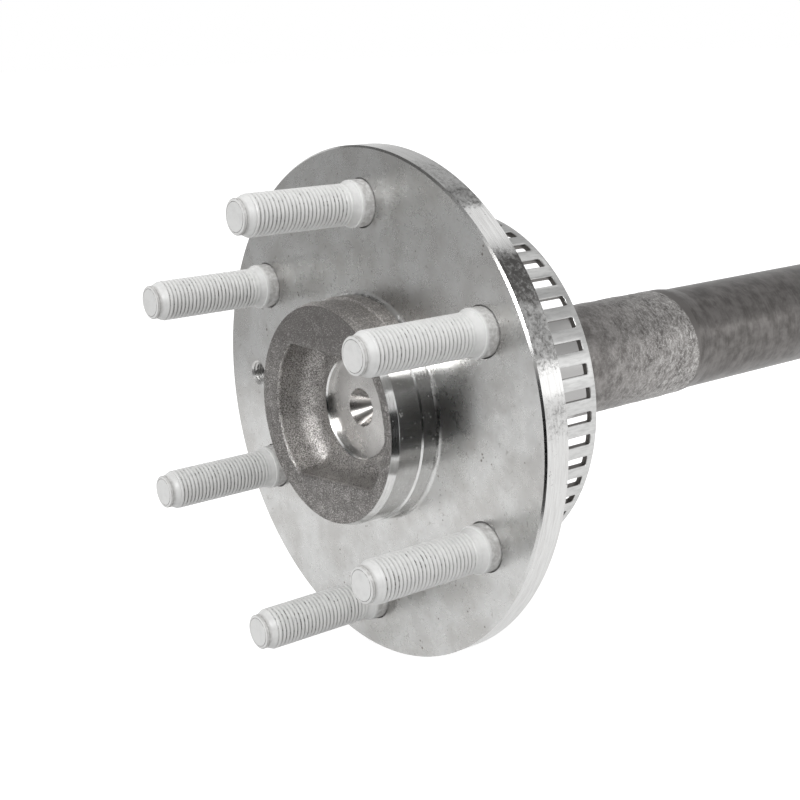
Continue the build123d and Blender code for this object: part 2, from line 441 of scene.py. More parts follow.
@dataclass(frozen=True)
class TurnedSteel(Finish):
    """Carbon steel faced in a lathe: fine rings, a sheen drawn out across them, faint stains and pits."""

    light: str = "#D0D0CF"
    dark: str = "#C1C0BE"
    stain: str = "#A8A39E"
    pit: str = "#8C8884"
    blotch_mm: float = 15.0
    ring_mm: float = 0.5
    ring_depth: float = 0.003
    roughness: float = 0.26
    anisotropic: float = 0.7
    marks: float = 1.0

    def worn(self, tree: Any, grain: Grain) -> Any:
        """Pits of about half a millimetre in loose groups, and thin curved scuffs.

        Args:
            tree: The material's node tree.
            grain: Its coordinates.

        Returns:
            How much of the surface is worn, from 0 to 1.
        """
        cell = add_node(tree, CELLS, grain.place, None, 0.5)
        group = add_node(tree, NOISE, grain.place, None, 1.0 / 11.0, 2.0, 0.6)
        near = add_node(tree, RAMP, group, 0.5, 0.74, 0.0, 0.3, interpolation_type=SOFT)
        edge = add_node(tree, MATH, near, 0.09, operation="SUBTRACT")
        dot = add_node(tree, RAMP, cell, edge, near, 1.0, 0.0, interpolation_type=SOFT)
        wander = add_node(tree, NOISE, grain.place, None, 1.0 / 7.0, 2.0, 0.6)
        off = add_node(tree, MATH, wander, 0.5, operation="SUBTRACT")
        thin = add_node(tree, MATH, off, operation="ABSOLUTE")
        scuff = add_node(tree, RAMP, thin, 0.003, 0.012, 0.45, 0.0, interpolation_type=SOFT)
        broken = add_node(tree, NOISE, grain.place, None, 1.0 / 3.0, 2.0, 0.6)
        part = add_node(tree, RAMP, broken, 0.52, 0.66, interpolation_type=SOFT)
        line = add_node(tree, MATH, scuff, part, operation="MULTIPLY")
        both = add_node(tree, MATH, dot, line, operation="MAXIMUM")
        return add_node(tree, MATH, both, self.marks, operation="MULTIPLY")

    def surface(self, tree: Any, grain: Grain) -> dict[str, Any]:
        """Build the nodes that feed the shader, and return them by input."""
        blotch = add_node(tree, NOISE, grain.place, None, 1.0 / self.blotch_mm, 3.0, 0.5)
        rings = add_node(tree, NOISE, grain.drawn, None, 1.0 / self.ring_mm, 3.0, 0.6)
        streak = add_node(tree, MATH, rings, 0.16, blotch, operation="MULTIPLY_ADD")
        level = add_node(tree, RAMP, streak, 0.42, 0.74, interpolation_type=SOFT)
        plain = add_node(tree, MIX, level, linear(self.light), linear(self.dark))
        cloud = add_node(tree, NOISE, grain.place, None, 1.0 / 5.0, 4.0, 0.65)
        tinge = add_node(tree, RAMP, cloud, 0.55, 0.8, 0.0, 0.35 * self.marks, interpolation_type=SOFT)
        tinged = add_node(tree, MIX, tinge, plain, linear(self.stain))
        return {
            "Base Color": add_node(tree, MIX, self.worn(tree, grain), tinged, linear(self.pit)),
            "Metallic": 1.0,
            "Roughness": add_node(
                tree, RAMP, cloud, 0.25, 0.8, self.roughness - 0.03, self.roughness + 0.08
            ),
            "Normal": add_node(tree, BUMP, 0.3, self.ring_depth * MM, named={"Height": rings}),
            "Anisotropic": self.anisotropic,
            "Tangent": grain.across,
        }


@dataclass(frozen=True)
class BrightCut(Finish):
    """Steel turned to a bright cut: crisp reflections with fine rings, specks of dust and dark stains."""

    light: str = "#DADAD9"
    dark: str = "#CDCCCB"
    stain: str = "#3C3A38"
    skin_light: str = "#F2EEEB"
    skin_dark: str = "#B2AEAB"
    roughness: float = 0.2
    anisotropic: float = 0.7
    stains: tuple[tuple[float, float, float], ...] = ()
    raw_side: bool = False
    raw_from: float = 50.6
    raw_to: float = 114.0
    raw_end_y: float = -0.3

    def stained(self, tree: Any, grain: Grain) -> Any:
        """Where the dark stains lie: mottled patches round the given angles.

        Args:
            tree: The material's node tree.
            grain: Its coordinates.

        Returns:
            How dark the stain is, from 0 to 1.
        """
        mottle = add_node(tree, NOISE, grain.place, None, 1.0 / 1.8, 5.0, 0.78)
        total: Any = 0.0
        for middle, half, strength in self.stains:
            off = add_node(tree, MATH, grain.angle, middle, operation="SUBTRACT")
            away = add_node(tree, MATH, off, operation="ABSOLUTE")
            near = add_node(tree, RAMP, away, 0.4 * half, half, strength, 0.0, interpolation_type=SOFT)
            total = add_node(tree, MATH, near, total, operation="ADD")
        lifted = add_node(tree, MATH, total, 0.34, mottle, operation="MULTIPLY_ADD")
        shown = add_node(tree, RAMP, lifted, 0.52, 0.94, 0.0, 0.9, interpolation_type=SOFT)
        kept = add_node(tree, RAMP, total, 0.0, 0.15, interpolation_type=SOFT)
        return add_node(tree, MATH, shown, kept, operation="MULTIPLY")

    def raw(self, tree: Any, grain: Grain) -> Any:
        """The rough patch on top of the hub, where the forging lies under the cut.

        Args:
            tree: The material's node tree.
            grain: Its coordinates.

        Returns:
            1 on the patch and 0 off it.
        """
        ragged = add_node(tree, NOISE, grain.place, None, 1.0 / 2.5, 3.0, 0.6)
        wander = add_node(tree, MATH, ragged, 6.0, -3.0, operation="MULTIPLY_ADD")
        turn = add_node(tree, MATH, grain.angle, wander, operation="ADD")
        first = add_node(tree, RAMP, turn, self.raw_from, self.raw_from + 1.2, interpolation_type=SOFT)
        last = add_node(tree, RAMP, turn, self.raw_to - 6.0, self.raw_to, 1.0, 0.0, interpolation_type=SOFT)
        side = add_node(tree, MATH, first, last, operation="MULTIPLY")
        end = self.raw_end_y
        clear = add_node(tree, RAMP, grain.y, end - 0.6, end, 1.0, 0.0, interpolation_type=SOFT)
        return add_node(tree, MATH, side, clear, operation="MULTIPLY")

    def surface(self, tree: Any, grain: Grain) -> dict[str, Any]:
        """Build the nodes that feed the shader, and return them by input."""
        rings = add_node(tree, NOISE, grain.drawn, None, 1.0 / 0.6, 3.0, 0.6)
        level = add_node(tree, RAMP, rings, 0.35, 0.75, interpolation_type=SOFT)
        colour = add_node(tree, MIX, level, linear(self.light), linear(self.dark))
        rough = add_node(tree, RAMP, rings, 0.3, 0.75, self.roughness - 0.02, self.roughness + 0.04)
        height = add_node(tree, MATH, rings, 0.05, operation="MULTIPLY")
        cell = add_node(tree, CELLS, grain.place, None, 0.9)
        group = add_node(tree, NOISE, grain.place, None, 1.0 / 4.0, 2.0, 0.6)
        reach = add_node(tree, RAMP, group, 0.5, 0.72, 0.02, 0.3, interpolation_type=SOFT)
        dust = add_node(tree, MATH, cell, reach, operation="LESS_THAN")
        rough = add_node(tree, MATH, dust, 0.3, rough, operation="MULTIPLY_ADD")
        if self.stains:
            stained = self.stained(tree, grain)
            colour = add_node(tree, MIX, stained, colour, linear(self.stain))
            rough = add_node(tree, MATH, stained, 0.25, rough, operation="MULTIPLY_ADD")
        if self.raw_side:
            raw = self.raw(tree, grain)
            scale = add_node(tree, NOISE, grain.place, None, 1.0 / 0.6, 4.0, 0.7)
            bare = add_node(tree, RAMP, scale, 0.42, 0.66, interpolation_type=SOFT)
            skin = add_node(tree, MIX, bare, linear(self.skin_dark), linear(self.skin_light))
            colour = add_node(tree, MIX, raw, colour, skin)
            rough = add_node(tree, MATH, raw, 0.26, rough, operation="MULTIPLY_ADD")
            grit = add_node(tree, MATH, scale, raw, operation="MULTIPLY")
            height = add_node(tree, MATH, grit, 9.0, height, operation="MULTIPLY_ADD")
        return {
            "Base Color": colour,
            "Metallic": 1.0,
            "Roughness": rough,
            "Normal": add_node(tree, BUMP, 0.5, 0.015 * MM, named={"Height": height}),
            "Anisotropic": self.anisotropic,
            "Tangent": grain.across,
        }


@dataclass(frozen=True)
class TappedSteel(Finish):
    """A cut thread in its hole: bright crests over roots painted dark as shade."""

    crest: str = "#E2E0DE"
    # The colour of the painted shade in the thread's roots.
    root: str = "#2E2C2A"
    hole_x: float = -69.85
    crest_r: float = 3.35
    root_r: float = 3.75
    rim_r: float = 4.1
    roughness: float = 0.2

    def surface(self, tree: Any, grain: Grain) -> dict[str, Any]:
        """Build the nodes that feed the shader, and return them by input."""
        moved = add_node(tree, VECTOR, grain.place, (-self.hole_x, 0.0, 0.0), operation="ADD")
        level = add_node(tree, VECTOR, moved, (1.0, 0.0, 1.0), operation="MULTIPLY")
        radius = add_node(tree, VECTOR, level, operation="LENGTH").outputs["Value"]
        # Painted shade: darker towards the thread's roots, inside the bore only.
        deep = add_node(tree, RAMP, radius, self.crest_r, self.root_r, interpolation_type=SOFT)
        bore = add_node(tree, MATH, radius, self.rim_r, operation="LESS_THAN")
        dark = add_node(tree, MATH, deep, bore, operation="MULTIPLY")
        colour = add_node(tree, MIX, dark, linear(self.crest), linear(self.root))
        return {"Base Color": colour, "Metallic": 1.0, "Roughness": self.roughness}


@dataclass(frozen=True)
class ForgedScale(Finish):
    """Hot-forged steel from the die: dark oxide in the hollows, bare metal that sparkles on the grains, with
    painted light in the pocket, painted shade on the upper side, and a band round the mouth that is rubbed
    bare and painted as a glint.
    """

    metal: str = "#D2CFCC"
    oxide: str = "#625F5D"
    face_y: float = -18.3
    grain_mm: float = 0.36
    relief: float = 0.09

    def surface(self, tree: Any, grain: Grain) -> dict[str, Any]:
        """Build the nodes that feed the shader, and return them by input."""
        coarse = add_node(tree, NOISE, grain.place, None, 1.0 / 4.5, 2.0, 0.5)
        fine = add_node(tree, NOISE, grain.place, None, 1.0 / self.grain_mm, 3.0, 0.7)
        height = add_node(tree, MATH, coarse, 0.15, fine, operation="MULTIPLY_ADD")
        # Painted light: bare metal gains deeper in the pocket, so the pocket reads lighter than the hub's
        # face.
        inside = add_node(tree, RAMP, grain.y, self.face_y + 0.6, self.face_y + 3.0, interpolation_type=SOFT)
        lifted = add_node(tree, MATH, inside, 0.06, height, operation="MULTIPLY_ADD")
        # Painted shade: bare metal thins on the upper side, so the hub and the pocket read darker on top.
        upper = add_node(tree, SEPARATE, grain.place).outputs["Z"]
        thick = add_node(tree, RAMP, upper, 8.0, 30.0, 0.0, 0.05, interpolation_type=SOFT)
        lifted = add_node(tree, MATH, lifted, thick, operation="SUBTRACT")
        # A band of bare metal round the pocket's mouth: a rubbed edge, and also a painted glint along it.
        rim = add_node(tree, RAMP, grain.y, self.face_y + 0.2, self.face_y + 0.6, interpolation_type=SOFT)
        below = add_node(tree, RAMP, grain.y, self.face_y + 1.0, self.face_y + 1.8, 0.09, 0.0)
        rubbed = add_node(tree, MATH, rim, below, lifted, operation="MULTIPLY_ADD")
        bare = add_node(tree, RAMP, rubbed, 0.54, 0.76, interpolation_type=SOFT)
        colour = add_node(tree, MIX, bare, linear(self.oxide), linear(self.metal))
        rise = add_node(tree, RAMP, inside, 0.0, 1.0, 1.0, 1.8)
        tall = add_node(tree, MATH, fine, rise, operation="MULTIPLY")
        return {
            "Base Color": colour,
            "Metallic": add_node(tree, RAMP, bare, 0.0, 0.8, 0.45, 1.0),
            "Roughness": add_node(tree, RAMP, bare, 0.0, 1.0, 0.5, 0.43),
            "Normal": add_node(tree, BUMP, 0.9, self.relief * MM, named={"Height": tall}),
        }


@dataclass(frozen=True)
class NeckScale(Finish):
    """Forging scale on the neck: a grey skin, rubbed light in small blobs that gather near the journal."""

    light: str = "#CFCDCB"
    skin: str = "#94918F"
    dark: str = "#6B6866"
    machined: str = "#B4B3B2"
    journal: str = "#74716F"
    turned_y: tuple[float, float] = (86.0, 88.5)
    gather_y: tuple[float, float] = (92.0, 142.0)
    ground_y: float = 147.6
    ground_sway: float = -3.2
    roughness: float = 0.42

    def surface(self, tree: Any, grain: Grain) -> dict[str, Any]:
        """Build the nodes that feed the shader, and return them by input."""
        cloud = add_node(tree, NOISE, grain.place, None, 1.0 / 6.0, 3.0, 0.6)
        fine = add_node(tree, NOISE, grain.place, None, 1.0 / 0.8, 3.0, 0.6)
        mottle = add_node(tree, MATH, fine, 0.4, cloud, operation="MULTIPLY_ADD")
        level = add_node(tree, RAMP, mottle, 0.5, 0.9, interpolation_type=SOFT)
        base = add_node(tree, MIX, level, linear(self.dark), linear(self.skin))
        squat = add_node(tree, VECTOR, grain.place, (1.0, 1.5, 1.0), operation="MULTIPLY")
        blob = add_node(tree, NOISE, squat, None, 1.0 / 2.0, 2.0, 0.6)
        dots = add_node(tree, RAMP, blob, 0.54, 0.64, interpolation_type=SOFT)
        middle = add_node(tree, MATH, blob, 0.5, operation="SUBTRACT")
        thin = add_node(tree, MATH, middle, operation="ABSOLUTE")
        worm = add_node(tree, RAMP, thin, 0.01, 0.05, 0.7, 0.0, interpolation_type=SOFT)
        rubbed = add_node(tree, MATH, dots, worm, operation="MAXIMUM")
        gather = add_node(tree, RAMP, grain.y, *self.gather_y, 0.12, 0.85)
        turn = add_node(tree, MATH, grain.angle, operation="RADIANS")
        height = add_node(tree, MATH, turn, operation="SINE")
        edge = add_node(tree, MATH, height, self.ground_sway, self.ground_y, operation="MULTIPLY_ADD")
        past = add_node(tree, MATH, grain.y, edge, operation="SUBTRACT")
        ground = add_node(tree, RAMP, past, -0.5, 0.5, interpolation_type=SOFT)
        left = add_node(tree, MATH, 1.0, ground, operation="SUBTRACT")
        zone = add_node(tree, MATH, gather, left, operation="MULTIPLY")
        mark = add_node(tree, MATH, rubbed, zone, operation="MULTIPLY")
        colour = add_node(tree, MIX, mark, base, linear(self.light))
        colour = add_node(tree, MIX, ground, colour, linear(self.journal))
        turned = add_node(tree, RAMP, grain.y, *self.turned_y, 1.0, 0.0, interpolation_type=SOFT)
        colour = add_node(tree, MIX, turned, colour, linear(self.machined))
        relief = add_node(tree, MATH, mark, 0.6, fine, operation="MULTIPLY_ADD")
        return {
            "Base Color": colour,
            "Metallic": 1.0,
            "Roughness": add_node(tree, RAMP, turned, 0.0, 1.0, self.roughness, 0.3),
            "Normal": add_node(tree, BUMP, 0.6, 0.08 * MM, named={"Height": relief}),
        }


@dataclass(frozen=True)
class GroundJournal(Finish):
    """Hardened and ground steel under a film of dark oil, with soft rings left by the wheel."""

    light: str = "#7E7B79"
    dark: str = "#5D5A58"
    roughness: float = 0.32
    anisotropic: float = 0.4
    ring_mm: float = 1.1

    def surface(self, tree: Any, grain: Grain) -> dict[str, Any]:
        """Build the nodes that feed the shader, and return them by input."""
        long = add_node(tree, VECTOR, grain.place, (0.12, 1.0, 0.12), operation="MULTIPLY")
        rings = add_node(tree, NOISE, long, None, 1.0 / self.ring_mm, 3.0, 0.6)
        cloud = add_node(tree, NOISE, grain.place, None, 1.0 / 7.0, 4.0, 0.65)
        mottle = add_node(tree, MATH, rings, 0.3, cloud, operation="MULTIPLY_ADD")
        level = add_node(tree, RAMP, mottle, 0.45, 0.85, interpolation_type=SOFT)
        return {
            "Base Color": add_node(tree, MIX, level, linear(self.dark), linear(self.light)),
            "Metallic": 1.0,
            "Roughness": self.roughness,
            "Normal": add_node(tree, BUMP, 0.4, 0.03 * MM, named={"Height": rings}),
            "Anisotropic": self.anisotropic,
            "Tangent": grain.across,
        }


@dataclass(frozen=True)
class StampedSteel(Finish):
    """Cold-rolled sheet, stamped and pierced: pale and satin, darker and rougher below the outer skin, on the
    windows' cut walls and the wall's inner face.
    """

    light: str = "#D3D3D2"
    dark: str = "#BFBFBE"
    under_skin_grey: str = "#858280"
    skin_r: float = 62.05
    wall_y: tuple[float, float] = (25.5, 26.5)
    roughness: float = 0.3

    def surface(self, tree: Any, grain: Grain) -> dict[str, Any]:
        """Build the nodes that feed the shader, and return them by input."""
        rolled = add_node(tree, VECTOR, grain.place, (1.0, 0.2, 1.0), operation="MULTIPLY")
        streak = add_node(tree, NOISE, rolled, None, 1.0 / 0.9, 4.0, 0.6)
        level = add_node(tree, RAMP, streak, 0.35, 0.75, interpolation_type=SOFT)
        skin = add_node(tree, MIX, level, linear(self.light), linear(self.dark))
        # Darker and rougher below the outer skin: on the windows' cut walls and on the whole inner face of
        # the wall.
        inside = add_node(tree, RAMP, grain.radius, self.skin_r - 0.15, self.skin_r, 1.0, 0.0)
        wall = add_node(tree, RAMP, grain.y, *self.wall_y, interpolation_type=SOFT)
        under_skin = add_node(tree, MATH, inside, wall, operation="MULTIPLY")
        grit = add_node(tree, NOISE, grain.place, None, 1.0 / 0.7, 2.0, 0.5)
        return {
            "Base Color": add_node(tree, MIX, under_skin, skin, linear(self.under_skin_grey)),
            "Metallic": 1.0,
            "Roughness": add_node(tree, MATH, under_skin, 0.15, self.roughness, operation="MULTIPLY_ADD"),
            "Normal": add_node(tree, BUMP, 0.3, 0.015 * MM, named={"Height": grit}),
        }


@dataclass(frozen=True)
class ZincFlake(Finish):
    """Zinc-flake coating, dipped and baked: pale satin, with painted shade in the thread's roots that is
    deepest on the side facing down, dark dashes along the roots, and painted shade in the creases at the end.
    """

    light: str = "#DEDEDD"
    dark: str = "#D4D4D3"
    # The colour of the painted shade in the thread's roots.
    root: str = "#A3A2A0"
    # Dark dashes along the roots, and the painted shade in the creases at the end.
    bare: str = "#55524F"
    smudge: str = "#A7A5A3"
    end_y: float = -48.9
    collar_y: tuple[float, float] = (-4.4, -3.4)
    roughness: float = 0.36
    ior: float = 1.5

    def surface(self, tree: Any, grain: Grain) -> dict[str, Any]:
        """Build the nodes that feed the shader, and return them by input."""
        cloud = add_node(tree, NOISE, grain.place, None, 1.0 / 2.5, 3.0, 0.6)
        level = add_node(tree, RAMP, cloud, 0.35, 0.8, interpolation_type=SOFT)
        coat = add_node(tree, MIX, level, linear(self.light), linear(self.dark))
        # Painted shade: the thread's roots are greyed, fully on the side that faces down and less on the side
        # that faces up.
        crest = add_node(tree, "ShaderNodeAttribute", attribute_name=CREST, attribute_type="GEOMETRY")
        deep = add_node(tree, RAMP, crest.outputs["Fac"], 0.05, 0.65, 1.0, 0.0, interpolation_type=SOFT)
        facing = add_node(tree, "ShaderNodeTexCoord").outputs["Normal"]
        upward = add_node(tree, SEPARATE, facing).outputs["Z"]
        below = add_node(tree, RAMP, upward, -0.1, 0.6, 1.0, 0.3, interpolation_type=SOFT)
        painted_root_shade = add_node(tree, MATH, deep, below, operation="MULTIPLY")
        colour = add_node(tree, MIX, painted_root_shade, coat, linear(self.root))
        fleck = add_node(tree, NOISE, grain.place, None, 1.0 / 1.4, 3.0, 0.65)
        # Dark dashes, broken by noise, along the thread's roots.
        gone = add_node(tree, RAMP, fleck, 0.53, 0.61, interpolation_type=SOFT)
        patch = add_node(tree, NOISE, grain.place, None, 1.0 / 9.0, 2.0, 0.6)
        some = add_node(tree, RAMP, patch, 0.44, 0.6, 0.4, 1.0, interpolation_type=SOFT)
        dashed = add_node(tree, MATH, gone, some, operation="MULTIPLY")
        root_dashes = add_node(tree, MATH, dashed, deep, operation="MULTIPLY")
        colour = add_node(tree, MIX, root_dashes, colour, linear(self.bare))
        # Painted shade: a broken dark line in the creases at the stud's end and in the dog's groove.
        crease = add_node(tree, RAMP, crest.outputs["Fac"], -0.9, 0.0, 1.0, 0.0)
        broken = add_node(tree, RAMP, fleck, 0.38, 0.58, 0.2, 0.9, interpolation_type=SOFT)
        line = add_node(tree, MATH, crease, broken, operation="MULTIPLY")
        colour = add_node(tree, MIX, line, colour, linear(self.bare))
        collar = add_node(tree, RAMP, grain.y, *self.collar_y, interpolation_type=SOFT)
        grey = add_node(tree, RAMP, fleck, 0.3, 0.65, 0.25, 0.85, interpolation_type=SOFT)
        past = add_node(tree, RAMP, grain.y, self.end_y + 0.1, self.end_y + 0.4, interpolation_type=SOFT)
        dog = add_node(
            tree, RAMP, grain.y, self.end_y + 1.2, self.end_y + 2.4, 0.8, 0.0, interpolation_type=SOFT
        )
        ends = add_node(tree, MATH, past, dog, collar, operation="MULTIPLY_ADD")
        rubbed = add_node(tree, MATH, ends, grey, operation="MULTIPLY")
        colour = add_node(tree, MIX, rubbed, colour, linear(self.smudge))
        grit = add_node(tree, NOISE, grain.place, None, 1.0 / 0.5, 2.0, 0.5)
        return {
            "Base Color": colour,
            "Metallic": 0.0,
            "Roughness": self.roughness,
            "IOR": self.ior,
            "Normal": add_node(tree, BUMP, 0.25, 0.015 * MM, named={"Height": grit}),
        }


# Threads


@dataclass(frozen=True)
class Thread:
    """A screw thread's surface between two rings, made by Geometry Nodes. Millimetres along +Y."""

    pitch: float
    major_r: float
    minor_r: float
    start: float
    end: float
    tip_r: float
    tip_slope: float
    fill_r: float
    fill_end: float
    runout_start: float
    runout_full: float
    end_r: float
    columns: int = 72
    rows_per_turn: int = 6

    def turns(self) -> int:
        """Whole turns that cover the length, with one to spare for the sheared rows."""
        return math.ceil((self.end - self.start) / self.pitch) + 1

    def sizes(self) -> dict[str, float]:
        """The tree's inputs and their values, lengths in metres."""
        return {
            "Pitch": self.pitch * MM,
            "Major Radius": self.major_r * MM,
            "Minor Radius": self.minor_r * MM,
            "Start": self.start * MM,
            "End": self.end * MM,
            "Tip Radius": self.tip_r * MM,
            "Tip Slope": self.tip_slope,
            "Fill Radius": self.fill_r * MM,
            "Fill End": self.fill_end * MM,
            "Runout Start": self.runout_start * MM,
            "Runout Full": self.runout_full * MM,
            "End Radius": self.end_r * MM,
        }

    def tree(self) -> Any:
        """Build the node tree: a sheared grid wound into a helix, clipped by the lead cone and the runout.

        Returns:
            The node tree, which joins the thread to the geometry it is given.
        """
        kinds = {name: "Float" for name in self.sizes()}
        kinds.update({"Columns": "Int", "Rows per Turn": "Int", "Turns": "Int", "Material": "Material"})
        tree = new_shape_tree("screw_thread", kinds)
        given = add_node(tree, "NodeGroupInput").outputs
        low, high = given["Minor Radius"], given["Major Radius"]
        across = add_node(tree, MATH, given["Columns"], 1.0, operation="ADD")
        rows = add_node(tree, MATH, given["Rows per Turn"], given["Turns"], 1.0, operation="MULTIPLY_ADD")
        grid = add_node(tree, "GeometryNodeMeshGrid", 1.0, 1.0, across, rows)
        number = add_node(tree, "GeometryNodeInputIndex")
        share = add_node(tree, MATH, number, rows, operation="DIVIDE")
        column = add_node(tree, MATH, share, operation="FLOOR")
        before = add_node(tree, MATH, column, rows, operation="MULTIPLY")
        row = add_node(tree, MATH, number, before, operation="SUBTRACT")
        turn = add_node(tree, MATH, column, given["Columns"], operation="DIVIDE")
        wound = add_node(tree, MATH, row, given["Rows per Turn"], operation="DIVIDE")
        climb = add_node(tree, MATH, wound, turn, operation="ADD")
        lift = add_node(tree, MATH, climb, 1.0, operation="SUBTRACT")
        free_y = add_node(tree, MATH, lift, given["Pitch"], given["Start"], operation="MULTIPLY_ADD")
        low_y = add_node(tree, MATH, free_y, given["Start"], operation="MAXIMUM")
        y = add_node(tree, MATH, low_y, given["End"], operation="MINIMUM")
        phase = add_node(tree, MATH, wound, operation="FRACT")
        swing = add_node(tree, MATH, phase, 2.0, -1.0, operation="MULTIPLY_ADD")
        wave = add_node(tree, MATH, swing, operation="ABSOLUTE")
        crest = add_node(tree, RAMP, wave, 0.04, 0.64, low, high)
        filled = add_node(tree, MATH, given["Fill End"], given["Pitch"], operation="ADD")
        ends = (given["Fill End"], filled, given["Fill Radius"], low)
        fill = add_node(tree, RAMP, y, *ends, interpolation_type=SOFT)
        fade = add_node(tree, RAMP, y, given["Runout Start"], given["Runout Full"], low, high)
        late = add_node(tree, MATH, y, given["Runout Full"], operation="GREATER_THAN")
        swell = add_node(tree, RAMP, y, given["Runout Full"], given["End"], high, given["End Radius"])
        tail = add_node(tree, MATH, late, swell, operation="MULTIPLY")
        shallow = add_node(tree, MATH, fill, fade, operation="MAXIMUM")
        floor = add_node(tree, MATH, shallow, tail, operation="MAXIMUM")
        raised = add_node(tree, MATH, crest, floor, operation="MAXIMUM")
        gone = add_node(tree, MATH, y, given["Start"], operation="SUBTRACT")
        lead = add_node(tree, MATH, gone, given["Tip Slope"], given["Tip Radius"], operation="MULTIPLY_ADD")
        radius = add_node(tree, MATH, raised, lead, operation="MINIMUM")
        angle = add_node(tree, MATH, turn, TAU, operation="MULTIPLY")
        cosine = add_node(tree, MATH, angle, operation="COSINE")
        sine = add_node(tree, MATH, angle, operation="SINE")
        x = add_node(tree, MATH, radius, cosine, operation="MULTIPLY")
        z = add_node(tree, MATH, radius, sine, operation="MULTIPLY")
        spot = add_node(tree, COMBINE, x, y, z)
        wrapped = add_node(tree, "GeometryNodeSetPosition", grid, named={"Position": spot})
        crown = {"Name": CREST, "Value": add_node(tree, RAMP, raised, low, high, 0.0, 1.0)}
        kept = add_node(tree, "GeometryNodeStoreNamedAttribute", wrapped, named=crown)
        joined = add_node(tree, "GeometryNodeJoinGeometry", kept)
        tree.links.new(given["Geometry"], joined.inputs[0])
        merged = add_node(tree, "GeometryNodeMergeByDistance", joined, named={"Distance": 0.002 * MM})
        real = add_node(tree, "GeometryNodeRealizeInstances", merged)
        dressed = add_node(tree, "GeometryNodeSetMaterial", real, named={"Material": given["Material"]})
        add_node(tree, "NodeGroupOutput", dressed)
        return tree

    def wound_on(self, blank: bpy.types.Object, material: bpy.types.Material, name: str) -> bpy.types.Object:
        """Join the thread to a turned blank that is open where the thread goes.

        Args:
            blank: The turned blank, on the Y axis, which is used up.
            material: The finish of the whole piece.
            name: The new piece's name.

        Returns:
            The threaded piece as a plain mesh.
        """
        values: dict[str, Any] = {
            **self.sizes(),
            "Columns": self.columns,
            "Rows per Turn": self.rows_per_turn,
            "Turns": self.turns(),
            "Material": material,
        }
        return shaped(blank, self.tree(), values, name)


# The forging


